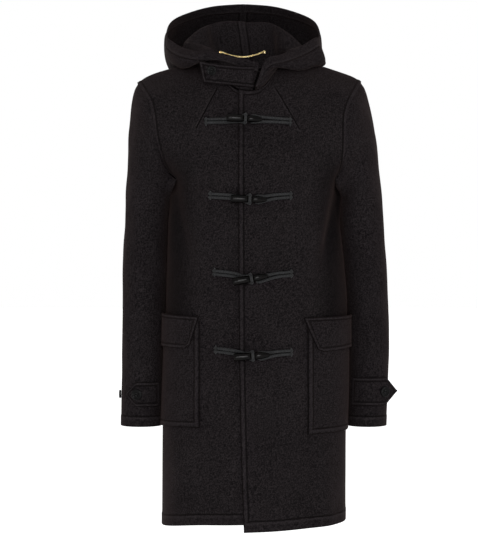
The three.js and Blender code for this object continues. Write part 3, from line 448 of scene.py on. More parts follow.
def crumple(p, size, seed):
    """Low uneven waves of the cloth: sines along seeded directions, each bent by another."""
    rng = np.random.default_rng(seed)
    height = np.zeros(p.shape[:-1])
    for _ in range(8):
        toward, other = unit(rng.normal(size=(2, 3)) * (1, 1, 0.55))
        length, phase = rng.uniform(34, 120), rng.uniform(0, 7, 2)
        bend = 1.1 * np.sin(p @ other / 31 + phase[1])
        height += np.sin(FULL_TURN * (p @ toward) / length + bend + phase[0])
    return size * height / 3


def draped(turn, level, out):
    """A place on the body moved out along its normal, waves of the cloth included."""
    p = body(turn, level)
    wave = both_ridges(turn, FRONT_WAVES, BACK_WAVES, p[..., 0], p[..., 2])
    wave = (wave + crumple(p, *BODY_CRUMPLE)) * smooth(0, 0.3, np.abs(np.cos(turn)))
    return p + outside_of(body, turn, level) * (wave + out)[..., None]


def neck_level(x, is_back):
    share = np.clip(np.abs(x - NECK_CENTRE) / NECK_HALF, 0, 1)
    if is_back:
        return -NECK_DEPTH_BACK * np.sqrt(1 - share * share)
    return -NECK_DEPTH_FRONT * (1 - share**2.6) ** 1.4


def top_edge(x, is_back):
    level = np.where(np.abs(x - NECK_CENTRE) < NECK_HALF, neck_level(x, is_back), 0)
    return joined(turn_at(x, level, is_back), level)


def front_edge(level):
    return mix(FRONT_EDGE_TOP, FRONT_EDGE_HEM, np.clip(level / HEM_MIDDLE, 0, 1) ** 4)


def under_edge(level):
    return mix(UNDER_EDGE_HEM, UNDER_EDGE_TOP, smooth(-300, -120, level))


def lap_of(side, x):
    """How far the over front stands out at x. The under front doesn't."""
    return (LAP if side == "left" else 0) * (1 - smooth(*LAP_FADE, x))


def armhole(side, is_back):
    """The armhole seam as turn and level, from the underarm at 0 to the shoulder at 1."""
    sign = SIGN[side]
    rows = []
    for i, (x, z) in enumerate(ARMHOLE[side]):
        out = BACK_ARMHOLE_OUT * math.sin(math.pi * i / 7) * sign if is_back else 0
        level = level_at(x, z)
        rows.append((float(turn_at(x + out, level, is_back)), float(level)))
    rows = [(sign * RIGHT_ANGLE, UNDERARM), *rows[::-1]]
    table = [(i / (len(rows) - 1), *row) for i, row in enumerate(rows)]

    def seam(share):
        place = along(table, share)
        place[..., 1] = np.minimum(place[..., 1], 0)
        return place

    return seam


def patch(low, high, start, end):
    """A four-sided patch in turn and level between its four edges, each corner counted once."""
    def place(u, v):
        u, v = np.broadcast_arrays(u, v)
        a, b = u[..., None], v[..., None]
        zero, one = np.zeros(()), np.ones(())
        return ((1 - b) * low(u) + b * high(u) + (1 - a) * start(v) + a * end(v)
                - (1 - a) * (1 - b) * low(zero) - a * (1 - b) * low(one)
                - (1 - a) * b * high(zero) - a * b * high(one))
    return place


def lower_and_upper(lower, upper, u, v):
    """Turn and level of a panel: its lower places up to the underarm, and its patch above."""
    above = upper(u, np.clip((v - LOWER) / (1 - LOWER), 0, 1))
    return np.moveaxis(np.where((v < LOWER)[..., None], lower, above), -1, 0)


def front_panel(side):
    """A front. u runs from the front edge to the side, v from the hem to the top edge. Below
    the underarm its places are even in turn and level; above, they fill the patch between
    front edge, neck, shoulder and armhole."""
    over, sign = side == "left", SIGN[side]
    edge_x = front_edge if over else under_edge
    neck = NECK_CENTRE + sign * NECK_HALF

    def top_x(u):
        inner = np.sin(np.clip(u / NECK_SHARE, 0, 1) * RIGHT_ANGLE)
        outer = (u - NECK_SHARE) / (1 - NECK_SHARE)
        near = mix(edge_x(-NECK_DEPTH_FRONT), neck, inner)
        return np.where(u > NECK_SHARE, mix(neck, ARMHOLE[side][0][0], outer), near)

    def even(u, level):
        return joined(mix(turn_at(edge_x(level), level), sign * RIGHT_ANGLE, u), level)

    start_level = top_edge(top_x(np.zeros(())), False)[1]
    upper = patch(lambda u: even(u, UNDERARM), lambda u: top_edge(top_x(u), False),
                  lambda v: even(0, mix(UNDERARM, start_level, v)), armhole(side, False))

    def point(u, v):
        fall = UNDER_HEM_RISE * (1 - smooth(0.4, 1, u))
        if over:
            fall = -HEM_DIP * (1 - smooth(0, 0.5, u))
        hem = HEM_MIDDLE + HEM_TILT * mix(edge_x(HEM_MIDDLE), sign * HEM_HALF, u) + fall
        lower = even(u, mix(hem, UNDERARM, np.minimum(v / LOWER, 1)))
        turn, level = lower_and_upper(lower, upper, u, v)
        level = np.minimum(level, 0)
        return draped(turn, level, lap_of(side, body(turn, level)[..., 0]))

    return point


def back_panel():
    """The back. u runs from the left side to the right side, v from the hem to the top edge."""
    behind = RIGHT_ANGLE + 1e-6

    def whole(place):
        return joined(np.mod(place[..., 0], FULL_TURN), place[..., 1])

    def turn_of(u):
        return mix(RIGHT_ANGLE, 3 * RIGHT_ANGLE, u)

    def top_x(u):
        share = SHOULDER_SHARE
        left = mix(ARMHOLE["left"][0][0], NECK_CENTRE + NECK_HALF, u / share)
        right = mix(NECK_CENTRE - NECK_HALF, ARMHOLE["right"][0][0], (u - 1 + share) / share)
        inner = NECK_CENTRE + NECK_HALF * np.cos((u - share) / (1 - 2 * share) * math.pi)
        return np.where(u < share, left, np.where(u > 1 - share, right, inner))

    left_seam, right_seam = armhole("left", True), armhole("right", True)
    upper = patch(lambda u: joined(turn_of(u), UNDERARM),
                  lambda u: whole(top_edge(top_x(u), True)),
                  lambda v: whole(left_seam(v)), lambda v: whole(right_seam(v)))

    def point(u, v):
        hem = HEM_MIDDLE + HEM_TILT * mix(HEM_HALF, -HEM_HALF, u)
        lower = joined(turn_of(u), mix(hem, UNDERARM, np.minimum(v / LOWER, 1)))
        turn, level = lower_and_upper(lower, upper, u, v)
        turn = np.where(turn > math.pi, turn - FULL_TURN, turn)
        turn = np.where(np.abs(turn) < behind, np.sign(turn) * behind, turn)
        return draped(turn, np.minimum(level, 0), 0)

    return point


def armhole_ring(side):
    """The outline that a sleeve starts from. turn is 0 at the shoulder, a quarter at the front
    and a half at the underarm."""
    small = 2e-3

    def places(seam, share):
        return body(*np.moveaxis(seam(np.clip(share, 0, 1)), -1, 0))

    def one_side(seam, share):
        """Place, outward side and direction away from the body, along one half of the seam."""
        tangent = unit(places(seam, share + small) - places(seam, share - small))
        inside = seam(np.clip(share, small, 1 - small))
        outside = outside_of(lambda a, b: body(a, b, False), inside[..., 0], inside[..., 1])
        away = unit(np.cross(tangent, outside))
        wrong = (away * np.array([SIGN[side], 0, 0.8])).sum(-1, keepdims=True) < 0
        return places(seam, share), outside, np.where(wrong, -away, away)

    seams = [armhole(side, False), armhole(side, True)]

    def ring(turn):
        wrapped = np.mod(turn, 1)
        is_back = wrapped > 0.5
        share = 1 - np.where(is_back, 2 - 2 * wrapped, 2 * wrapped)
        made = [one_side(seam, share) for seam in seams]
        place, outside, away = [np.where(is_back[..., None], b, a) for a, b in zip(*made)]
        lift = UNDERARM_LIFT * (1 - smooth(0.3, 0.55, share))
        return place + away * ARMHOLE_GAP + outside * lift[..., None]

    return ring


def sleeve(side):
    """A sleeve. u runs once round from the top over the front, v from the armhole to the cuff.
    Each ring is an ellipse; near the armhole it takes the seam's outline instead."""
    ring = armhole_ring(side)

    def ellipse(turn, v):
        cells = np.moveaxis(along(SLEEVE[side], v), -1, 0)
        outer_x, outer_z, inner_x, inner_z, front, back = cells
        c, s = np.cos(turn * FULL_TURN), np.sin(turn * FULL_TURN)
        return joined((outer_x + inner_x) / 2 + (outer_x - inner_x) / 2 * c,
                      np.where(s > 0, front * s, -back * s),
                      (outer_z + inner_z) / 2 + (outer_z - inner_z) / 2 * c)

    def point(turn, v):
        turn, v = np.broadcast_arrays(np.asarray(turn, float), np.asarray(v, float))
        fade = 1 - smooth(0, SLEEVE_BLEND, v)
        return ellipse(turn, v) + (ring(turn) - ellipse(turn, 0 * v)) * fade[..., None]

    return point


def neckline(x, is_back, lap):
    level = neck_level(x, is_back)
    turn = turn_at(x, level, is_back)
    return draped(turn, level, lap), outside_of(body, turn, level)


def above_neck(x, is_back, lap, step=1.5):
    """Where the hood starts: the neck seam moved into the neck hole by a cloth and a gap."""
    place, outside = neckline(x, is_back, lap)
    near = np.clip(x, NECK_CENTRE - NECK_REACH + step, NECK_CENTRE + NECK_REACH - step)
    tangent = neckline(near + step, is_back, lap)[0] - neckline(near - step, is_back, lap)[0]
    away = unit(np.cross(tangent, outside))
    hole = joined(NECK_CENTRE - place[..., 0], -place[..., 1], 40)
    away = np.where((away * hole).sum(-1, keepdims=True) < 0, -away, away)
    return place + away * (CLOTH + NECK_GAP)


def hood_half(side):
    """A hood half on a grid: u from the back middle to the front end, v from the neck seam up
    the collar, over the ridge, down the valley, round the sole and up to the rim. Cubic lines
    join its profiles, and cubic lines run up each of them."""
    sign = SIGN[side]
    rows = []
    for at, neck, *lines in HOOD_BACK:
        cells = [(middle + sign * x, y, z) for middle, (x, y, z) in zip(HOOD_CENTRE, lines)]
        rows.append((at, NECK_CENTRE + sign * neck, *np.ravel(cells)))
    rows += [(at, neck, *np.ravel(lines)) for at, neck, *lines in HOOD_FRONT[side]]

    def point(u, v):
        columns = u[0]
        cells = along(rows, columns)
        x = np.clip(cells[:, 0], NECK_CENTRE - NECK_REACH, NECK_CENTRE + NECK_REACH)
        neck = np.where((columns < NECK_SIDE_AT)[:, None], above_neck(x, True, 0 * x),
                        above_neck(x, False, lap_of(side, x)))
        lines = np.concatenate([neck[None], np.moveaxis(cells[:, 1:].reshape(-1, 7, 3), 1, 0)])
        table = np.column_stack([np.linspace(0, 1, len(lines)), lines.reshape(len(lines), -1)])
        grid = along(table, v[:, 0]).reshape(-1, *lines.shape[1:])
        grid[..., 0] += sign * GAP / 2 * (1 - smooth(0, 0.03, columns))
        return grid

    return point


def tab_face(u, v):
    """The throat tab's outer face: straight edges, its lower edge nearer to the neck."""
    share = 1 - u
    top = mix(TAB["top_right"], TAB["top_left"], share**2)
    low = mix(TAB["low_right"], TAB["low_left"], share)
    left = mix(TAB["left_low"], TAB["left"], v)
    depth = mix(mix(TAB_FACE["low"], TAB_FACE["top"], v), TAB_FACE["left"], smooth(0.35, 1, share))
    return joined(mix(TAB["right"], left, share), depth, mix(low, top, v))


def on_front(side, x, z, out):
    """A place on the outside of a front, moved out. The over front stands out by its lap."""
    x = np.asarray(x, float)
    level = level_at(x, z)
    return draped(turn_at(x, level), level, lap_of(side, x) + out)


def lying_patch(side, cut, out):
    """A patch that lies out from a front: its turn runs from the front edge's x to a share of
    a quarter turn, its height from the low to the high edge. Its low front corner is cut."""
    low_x, high_x, end, low, low_side, high, high_side, corner = cut

    def point(u, v):
        bottom = mix(low, low_side, u) + corner * np.clip(1 - u / CORNER_SHARE, 0, 1)
        z = mix(bottom, mix(high, high_side, u), v)
        turn = mix(turn_at(mix(low_x, high_x, v), z), SIGN[side] * RIGHT_ANGLE * end, u)
        return draped(turn, z, lap_of(side, body(turn, z)[..., 0]) + out)

    return point


def strap_length(side):
    cut = STRAP[side]
    return cut["free"] + math.radians(cut["end"] - cut["leave"]) * STRAP_RADIUS


def cuff_strap(side):
    """A cuff strap, from its point to its inner end. It stands off straight from the sleeve at
    first and then lies round it."""
    cut = STRAP[side]
    arm = sleeve(side)
    total = strap_length(side)
    start, top, cuff = SLEEVE_LOW

    def on_sleeve(turn, z):
        v = mix(start, 1, np.clip((z - top) / (cuff - top), 0, 1))
        p = arm(turn / 360, v)
        way = arm(turn / 360 + 1e-3, v) - p
        way[..., 2] = 0
        way = unit(way)
        p[..., 2] = z
        outside = joined(way[..., 1], -way[..., 0], 0) * -SIGN[side]
        return p + outside * (LIE + CLOTH), way

    def point(u, v):
        distance = u * total
        half = (cut["high"] - cut["low"]) / 2 * np.clip(distance / cut["point"], 0.06, 1)
        z = (cut["high"] + cut["low"]) / 2 + (2 * v - 1) * half
        share = np.clip((distance - cut["free"]) / (total - cut["free"]), 0, 1)
        p, way = on_sleeve(mix(cut["leave"], cut["end"], share), z)
        return p + way * np.minimum(distance - cut["free"], 0)[..., None]

    return point


# Meshes from grids

def shares(length, pitch, fine_start=0.0, fine_end=0.0):
    """Grid lines as shares of a length: close together where the edge rounds over, then every
    1.5 mm through a fine band, and a pitch apart in between."""
    near = [0, 0.12, 0.45, 0.95, 1.5]
    start = near + list(np.arange(3, fine_start, 1.5))
    end = near + list(np.arange(3, fine_end, 1.5))
    count = max(2, round((length - start[-1] - end[-1]) / pitch))
    middle = np.linspace(start[-1], length - end[-1], count + 1)[1:-1]
    return np.concatenate([start, middle, length - np.array(end[::-1])]) / length


def outward(p, sign, closed):
    """The outward side of a grid: across the slope along its rows and that along its columns."""
    du = np.roll(p, -1, 1) - np.roll(p, 1, 1) if closed else np.gradient(p, axis=1)
    return unit(np.cross(du, np.gradient(p, axis=0))) * sign


def far_from_edges(p, u, v, closed):
    """Distances along the cloth from each of its edges, in mm."""
    if closed:
        p = np.concatenate([p, p[:, :1]], 1)
    runs = []
    for axis in (1, 0):
        steps = np.linalg.norm(np.diff(p, axis=axis), axis=-1)
        first = np.zeros_like(np.take(steps, [0], axis))
        runs.append(np.concatenate([first, np.cumsum(steps, axis)], axis))
    across, up = runs
    width, height = across[:, -1:], up[-1:]
    far = dict(across=across, up=up, start=across, end=width - across, low=up, high=height - up,
               height=height + 0 * up, place=p)
    if closed:
        far = {name: value[:, :-1] for name, value in far.items()}
        far["start"] = far["end"] = far["start"] + 1e6
    return far | dict(u=u, v=v, size=(float(width.max()), float(height.max())))


def grid_faces(rows, columns, closed=False):
    """Corner numbers of a grid's quads, with each corner's column and row."""
    j, i = np.meshgrid(np.arange(rows - 1), np.arange(columns - (not closed)), indexing="ij")
    i, j = i.ravel(), j.ravel()
    column = np.stack([i, i + 1, i + 1, i], -1)
    row = np.stack([j, j, j + 1, j + 1], -1)
    return row * columns + column % columns, column, row


def inset(far, *edges):
    """Signed distance to a stitch line that keeps the given distances inside the named edges,
    and the run along it."""
    distance = np.full(far["u"].shape, 1e3)
    run = far["across"]
    for name, turned in edges:
        here = far[name] - turned
        along_it = far["up"] if name in ("start", "end") else far["across"]
        run = np.where(here < distance, along_it, run)
        distance = np.minimum(distance, here)
    return distance, run


def wall(point, us, vs, sign, detail, closed):
    """A closed wall of cloth over a grid. Its outer and inner sides lie a cloth apart and meet
    in a half circle at the open edges. detail gives how far it is raised, and its fields."""
    v, u = np.meshgrid(vs, us, indexing="ij")
    p = point(u, v)
    far = far_from_edges(p, u, v, closed)
    lift, fields = detail(far)
    p = p + outward(p, sign, closed) * lift[..., None]
    n = outward(p, sign, closed)
    edge = np.minimum.reduce([far[name] for name in ("start", "end", "low", "high")])
    radius = CLOTH / 2
    drop = radius - np.sqrt(np.clip(radius**2 - (radius - np.minimum(edge, radius)) ** 2, 0, None))
    top = p - n * drop[..., None]
    under = p - n * (CLOTH - drop)[..., None]
    rim = np.zeros(u.shape, bool)
    rim[[0, -1]] = True
    if not closed:
        rim[:, [0, -1]] = True
    rim = rim.ravel()
    low = np.where(rim, np.arange(rim.size), rim.size + np.cumsum(~rim) - 1)
    quads = grid_faces(*u.shape, closed)[0][:, ::sign]
    diagonals = p[1:, 1:] - p[:-1, :-1], p[1:, :-1] - p[:-1, 1:]
    area = 0.5 * np.linalg.norm(np.cross(*diagonals), axis=-1)
    return dict(
        points=np.concatenate([top.reshape(-1, 3), under.reshape(-1, 3)[~rim]]),
        faces=np.concatenate([quads, low[quads][:, ::-1]]),
        fields={name: np.concatenate([value.ravel(), value.ravel()[~rim]])
                for name, value in fields.items()},
        size=far["size"], area=float(area.sum()) * (1 + closed / u.shape[1]),
    )


def ring_shape(points, run, pitch):
    """A shape from rings of points, of which the first and the last shrink to one point. Its
    map holds the turn and the run over pitch."""
    rows, sides = points.shape[:2]
    quads, column, row = grid_faces(rows, sides, True)
    number = np.arange(rows * sides).reshape(rows, sides)
    number[0] = 0
    number[-1] = number[-1, 0]
    return dict(points=points.reshape(-1, 3), faces=number.ravel()[quads],
                uv=np.stack([column / sides, run[row] / pitch], -1))


def turned_shape(outline, place, axis, sides, notch=None):
    """A shape turned on an axis: an outline of distance along and radius, carried round. Its
    two ends are single points. notch sinks the outer face along the axis."""
    outline = np.asarray(outline, float)
    axis = unit(np.asarray(axis, float))
    first, second = across_of(axis)
    angle = np.arange(sides) / sides * FULL_TURN
    rows, radius = np.arange(len(outline)), outline[:, 1][:, None]
    a, b = radius * np.cos(angle), radius * np.sin(angle)
    reach = outline[:, 0][:, None] + 0 * a
    if notch is not None:
        reach = reach - notch(a, b, rows[:, None])
    points = place + reach[..., None] * axis + a[..., None] * first + b[..., None] * second
    return ring_shape(points, rows, len(outline))


def smooth_path(places, step):
    """Even steps along a rounded line through places. The line is cubic between places, with
    knots as far apart as the square root of the distance."""
    knots = distances(places, 0.5)
    fine = along(np.column_stack([knots, places]), np.linspace(0, knots[-1], 900))
    run = distances(fine)
    at = np.linspace(0, run[-1], max(4, round(run[-1] / step)) + 1)
    return interpolated(at, run, fine), at


def tube(path, run, radius, sides, reference, pitch=5.0):
    """A round profile carried along a path, its ends drawn in to a point. radius is a number
    or a function of the turn and the run. The map holds the turn and the run over pitch."""
    way = unit(np.gradient(path, axis=0))
    first = unit(np.cross(way, reference))
    second = np.cross(way, first)
    angle = np.arange(sides) / sides * FULL_TURN
    size = radius(angle[None], run[:, None]) if callable(radius) else radius + 0 * run[:, None]
    end = np.minimum(run, run[-1] - run)[:, None]
    size = size * np.sqrt(np.clip(1 - (1 - np.clip(end / np.max(size), 0, 1)) ** 2, 0, 1))
    ring = (np.cos(angle)[None, :, None] * first[:, None]
            + np.sin(angle)[None, :, None] * second[:, None])
    return ring_shape(path[:, None] + ring * size[..., None], run, pitch)


def add_object(name, data):
    made = bpy.data.objects.new(name, data)
    bpy.context.scene.collection.objects.link(made)
    return made


def make_piece(node, materials, parts):
    """One object from closed shapes, each with the material at its place in the list. Quads are
    cut in two, and a face that has shrunk to a line at a pole is left out."""
    points, faces, coats, uvs, fields, start = [], [], [], [], {}, 0
    for part in parts:
        quads = part["faces"]
        corner = part.get("uv", np.zeros((*quads.shape, 2)))
        for cut in ([0, 1, 2], [0, 2, 3]):
            tri = quads[:, cut]
            kept = (tri[:, 0] != tri[:, 1]) & (tri[:, 1] != tri[:, 2]) & (tri[:, 2] != tri[:, 0])
            faces.append(tri[kept] + start)
            uvs.append(corner[:, cut][kept])
            coats.append(np.full(kept.sum(), part.get("material", 0)))
        points.append(part["points"])
        start += len(part["points"])
        fields.update(part.get("fields", {}))
    points, faces, uvs = np.concatenate(points), np.concatenate(faces), np.concatenate(uvs)
    used = np.unique(faces)
    mesh = bpy.data.meshes.new("form_" + node)
    mesh.vertices.add(len(used))
    mesh.vertices.foreach_set("co", (points[used] * MM).ravel())
    mesh.loops.add(faces.size)
    mesh.loops.foreach_set("vertex_index", np.searchsorted(used, faces).ravel())
    mesh.polygons.add(len(faces))
    mesh.polygons.foreach_set("loop_start", np.arange(0, faces.size, 3))
    mesh.polygons.foreach_set("material_index", np.concatenate(coats))
    mesh.polygons.foreach_set("use_smooth", np.ones(len(faces), bool))
    mesh.uv_layers.new(name="lay").data.foreach_set("uv", uvs.ravel())
    for name, value in fields.items():
        mesh.attributes.new(name, "FLOAT", "POINT").data.foreach_set("value", value[used])
    mesh.update(calc_edges=True)
    mesh.validate()
    for material in materials:
        mesh.materials.append(material)
    piece = add_object("coat_" + node, mesh)
    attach(piece, "root")
    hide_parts(node)
    return piece


# Materials

class Board:
    """A node tree with short ways to put down and join nodes."""

    def __init__(self, tree):
        self.tree = tree

    def node(self, kind, inputs=(), **settings):
        made = self.tree.nodes.new(kind)
        for name, value in settings.items():
            setattr(made, name, value)
        for socket, value in dict(inputs).items():
            self.put(made.inputs[socket], value)
        return made

    def put(self, socket, value):
        if isinstance(value, bpy.types.NodeSocket):
            self.tree.links.new(value, socket)
        else:
            socket.default_value = value

    def math(self, operation, *values):
        made = self.node("ShaderNodeMath", enumerate(values), operation=operation)
        return made.outputs[0]

    def times(self, *values):
        return self.math("MULTIPLY", *values)

    def fade(self, value, low, high, to_low=0.0, to_high=1.0):
        names = ("Value", "From Min", "From Max", "To Min", "To Max")
        made = self.node("ShaderNodeMapRange", zip(names, (value, low, high, to_low, to_high)),
                         interpolation_type="SMOOTHSTEP")
        return made.outputs["Result"]

    def fall(self, value, low, high):
        return self.fade(value, low, high, 1.0, 0.0)

    def noise(self, vector, scale, detail, roughness):
        made = self.node("ShaderNodeTexNoise", dict(Vector=vector, Scale=scale, Detail=detail,
                                                    Roughness=roughness))
        return made.outputs["Fac"]

    def blend(self, share, first, second):
        made = self.node("ShaderNodeMix", data_type="RGBA")
        for socket, value in ((0, share), (6, first), (7, second)):
            self.put(made.inputs[socket], value)
        return made.outputs[2]

    def field(self, name):
        return self.node("ShaderNodeAttribute", attribute_name=name).outputs["Fac"]

    def placed(self, tree, **inputs):
        made = self.node("ShaderNodeGroup", node_tree=tree)
        for name, value in inputs.items():
            self.put(made.inputs[name], value)
        return made.outputs


def new_group(name, inputs, *outputs):
    """A shader node group with named inputs and outputs. It gives its board, the values that
    come in and the sockets that take the results."""
    tree = bpy.data.node_groups.new(name, "ShaderNodeTree")
    for label, kind, value in inputs:
        socket = tree.interface.new_socket(label, in_out="INPUT", socket_type="NodeSocket" + kind)
        if value is not None:
            socket.default_value = value
    for label in outputs:
        kind = "NodeSocketColor" if label == "Color" else "NodeSocketFloat"
        tree.interface.new_socket(label, in_out="OUTPUT", socket_type=kind)
    board = Board(tree)
    given = board.node("NodeGroupInput")
    return board, given.outputs, board.node("NodeGroupOutput").inputs


def nap_group():
    """The milled nap: fine fibres, small tufts and broad uneven tone, mixed by strength."""
    black = (0, 0, 0, 1)
    board, given, result = new_group(
        "milled nap",
        [("Place", "Vector", None), ("Dark", "Color", black), ("Light", "Color", black),
         ("Fibre", "Float", 800.0), ("Tuft", "Float", 460.0)], "Color", "Roughness", "Height")
    fibre = board.noise(given["Place"], given["Fibre"], 3.0, 0.65)
    tuft = board.noise(given["Place"], given["Tuft"], 4.0, 0.6)
    broad = board.noise(given["Place"], 14.0, 2.0, 0.5)
    speck = board.math("ADD", board.times(fibre, 0.4), board.times(tuft, 0.55))
    speck = board.math("ADD", speck, board.times(broad, 0.05))
    board.put(result["Color"],
              board.blend(board.fade(speck, 0.42, 0.6), given["Dark"], given["Light"]))
    board.put(result["Roughness"], board.fade(tuft, 0.3, 0.7, 0.86, 1.0))
    board.put(result["Height"], board.times(speck, 0.55))
    return board.tree


def stitch_group():
    """A topstitched line: the cloth sinks along it, and thread lies in the groove in dashes.
    Shade is a mask of painted shade in the groove, and Crest a mask of painted highlight on the
    cloth beside it, on the edge's side."""
    board, given, result = new_group(
        "topstitching",
        [("Distance", "Float", 50.0), ("Run", "Float", 0.0), ("Stitch", "Float", 3.4),
         ("Groove", "Float", 2.1)], "Height", "Shade", "Thread", "Crest")
    away = board.math("ABSOLUTE", given["Distance"])
    groove = board.fall(away, 0.3, given["Groove"])
    step = board.math("FRACT", board.math("DIVIDE", given["Run"], given["Stitch"]))
    dash = board.times(board.fade(step, 0.1, 0.26), board.fall(step, 0.74, 0.9))
    thread = board.times(dash, board.fall(away, 0.15, 0.65))
    board.put(result["Height"], board.math("SUBTRACT", board.times(thread, 0.75), groove))
    board.put(result["Shade"], groove)
    board.put(result["Thread"], thread)
    # Crest: a mask of painted highlight, 1.2 to 7.5 mm from the stitch line on the edge's side
    board.put(result["Crest"], board.times(board.fade(given["Distance"], -7.5, -4.5),
                                           board.fall(given["Distance"], -2.6, -1.2)))
    return board.tree


def braid_group():
    """A braided cord: two sets of strands wind round it both ways, and the higher one shows."""
    board, given, result = new_group(
        "braid", [("Lay", "Vector", None), ("Strands", "Float", 3.0)], "Height")
    lay = board.node("ShaderNodeSeparateXYZ", dict(Vector=given["Lay"])).outputs
    turn = board.times(lay["X"], given["Strands"])
    waves = [board.math("SINE", board.times(board.math(way, turn, lay["Y"]), FULL_TURN))
             for way in ("ADD", "SUBTRACT")]
    board.put(result["Height"], board.math("MAXIMUM", *waves))
    return board.tree


NAP, STITCH, BRAID = nap_group(), stitch_group(), braid_group()


def new_material(name, **constants):
    """A material with one surface shader, whose constants are set on the shader's sockets."""
    material = bpy.data.materials.new(name)
    material.use_nodes = True
    board = Board(material.node_tree)
    shader = material.node_tree.nodes["Principled BSDF"].inputs
    for socket, value in constants.items():
        shader[socket.replace("_", " ")].default_value = value
    return material, board, shader, board.node("ShaderNodeTexCoord").outputs["Object"]


def bump(board, shader, height, strength=1.0):
    made = board.node("ShaderNodeBump", dict(Strength=strength, Distance=MM, Height=height))
    board.put(shader["Normal"], made.outputs["Normal"])


def wool_material(name, dark, light):
    """Melton: nap over all, topstitching along the stitch field and darts along theirs. Painted
    shade darkens it in the stitch grooves, along the dart lines, at folded edges and in the shade
    field, and a painted highlight lightens it beside the stitches and the darts."""
    material, board, shader, place = new_material(
        name, Sheen_Weight=0.02, Sheen_Roughness=0.5, Sheen_Tint=(0.9, 0.6, 0.55, 1),
        Specular_IOR_Level=0.02)
    nap = board.placed(NAP, Place=place, Dark=dark, Light=light)
    stitch = board.placed(STITCH, Distance=board.field("stitch"), Run=board.field("run"))
    dart = board.field("dart")
    away = board.math("ABSOLUTE", dart)
    height = board.math("ADD", nap["Height"], stitch["Height"])
    height = board.math("ADD", height, board.times(board.fall(away, 0.2, 2.2), 1.3))
    # Painted highlight: a lighter strip on one side of the dart line, and beside each stitch line by
    # the crest
    beside = board.times(board.fade(dart, 1.0, 1.8), board.fall(dart, 3.0, 4.5))
    painted_highlight = board.times(board.math("MAXIMUM", stitch["Crest"], beside), 0.09)
    color = board.blend(painted_highlight, nap["Color"], PAINTED_HIGHLIGHT_WOOL)
    # Painted shade: darker in the stitch grooves, along the dart lines, within 2.4 mm of folded
    # edges, and where the shade field lies beside the sleeves
    shade = board.times(stitch["Shade"], 0.8)
    for other in (board.times(board.fall(away, 0.5, 1.6), 0.85),
                  board.times(board.fall(board.field("fold"), 0.8, 2.4), 0.85),
                  board.field("shade")):
        shade = board.math("MAXIMUM", shade, other)
    color = board.blend(shade, color, PAINTED_SHADE_WOOL)
    color = board.blend(board.times(stitch["Thread"], 0.5), color, SEWN_WOOL)
    board.put(shader["Base Color"], color)
    board.put(shader["Roughness"], nap["Roughness"])
    bump(board, shader, height, 0.8)
    return material


def cord_material(name, dark, light, strands=3.0):
    """Braided or wound thread: the strands get a painted highlight on top and painted shade between,
    and are bumped by their height.
    """
    material, board, shader, place = new_material(
        name, Specular_IOR_Level=0.2, Sheen_Weight=0.03, Roughness=0.6)
    lay = board.node("ShaderNodeUVMap", uv_map="lay").outputs["UV"]
    strand = board.placed(BRAID, Lay=lay, Strands=strands)["Height"]
    fibre = board.noise(place, 420.0, 2.0, 0.6)
    # Painted highlight and shade: lighter where a strand stands high, darker between strands; the
    # fibre noise is random tone
    share = board.math("ADD", board.fade(strand, 0.0, 1.0, 0.0, 0.35),
                       board.fade(fibre, 0.42, 0.6, 0.0, 0.75))
    board.put(shader["Base Color"], board.blend(share, dark, light))
    bump(board, shader, board.math("ADD", board.times(strand, 0.28), board.times(fibre, 0.2)))
    return material


def polished_material(name, dark, light, stretch, roughness, wear, **constants):
    """A polished hard finish: faint streaks along one way, and gloss that is uneven."""
    material, board, shader, place = new_material(name, **constants)
    mapped = board.node("ShaderNodeMapping", dict(Vector=place, Scale=stretch)).outputs["Vector"]
    streak = board.noise(mapped, 160.0, 4.0, 0.6)
    fine = board.noise(place, 700.0, 3.0, 0.6)
    board.put(shader["Base Color"], board.blend(board.fade(streak, 0.4, 0.7), dark, light))
    board.put(shader["Roughness"], board.fade(fine, 0.3, 0.75, roughness, roughness + wear))
    bump(board, shader, board.times(fine, 0.05))
    return material


wool = wool_material("melton", (0.0016, 0.0012, 0.0015, 1), (0.0130, 0.0110, 0.0117, 1))
braid = cord_material("braided_cord", (0.0008, 0.0008, 0.0009, 1), (0.0080, 0.0082, 0.0090, 1))
thread = cord_material("sewing_thread", (0.002, 0.002, 0.002, 1), (0.011, 0.011, 0.0115, 1), 0.0)
horn = polished_material("black_horn", (0.0006, 0.0005, 0.0005, 1), (0.002, 0.0016, 0.0014, 1),
                         (0.25, 1, 1), 0.1, 0.08, Specular_IOR_Level=0.06)
resin = polished_material("black_button", (0.0008, 0.0008, 0.0008, 1), (0.002, 0.002, 0.002, 1),
                          (1, 1, 1), 0.06, 0.05, Specular_IOR_Level=0.07)
gold = polished_material("gold_plate", (0.90, 0.70, 0.32, 1), (1.0, 0.86, 0.52, 1),
                         (1, 1, 1), 0.18, 0.16, Metallic=1.0)


# The stage, the light and the camera

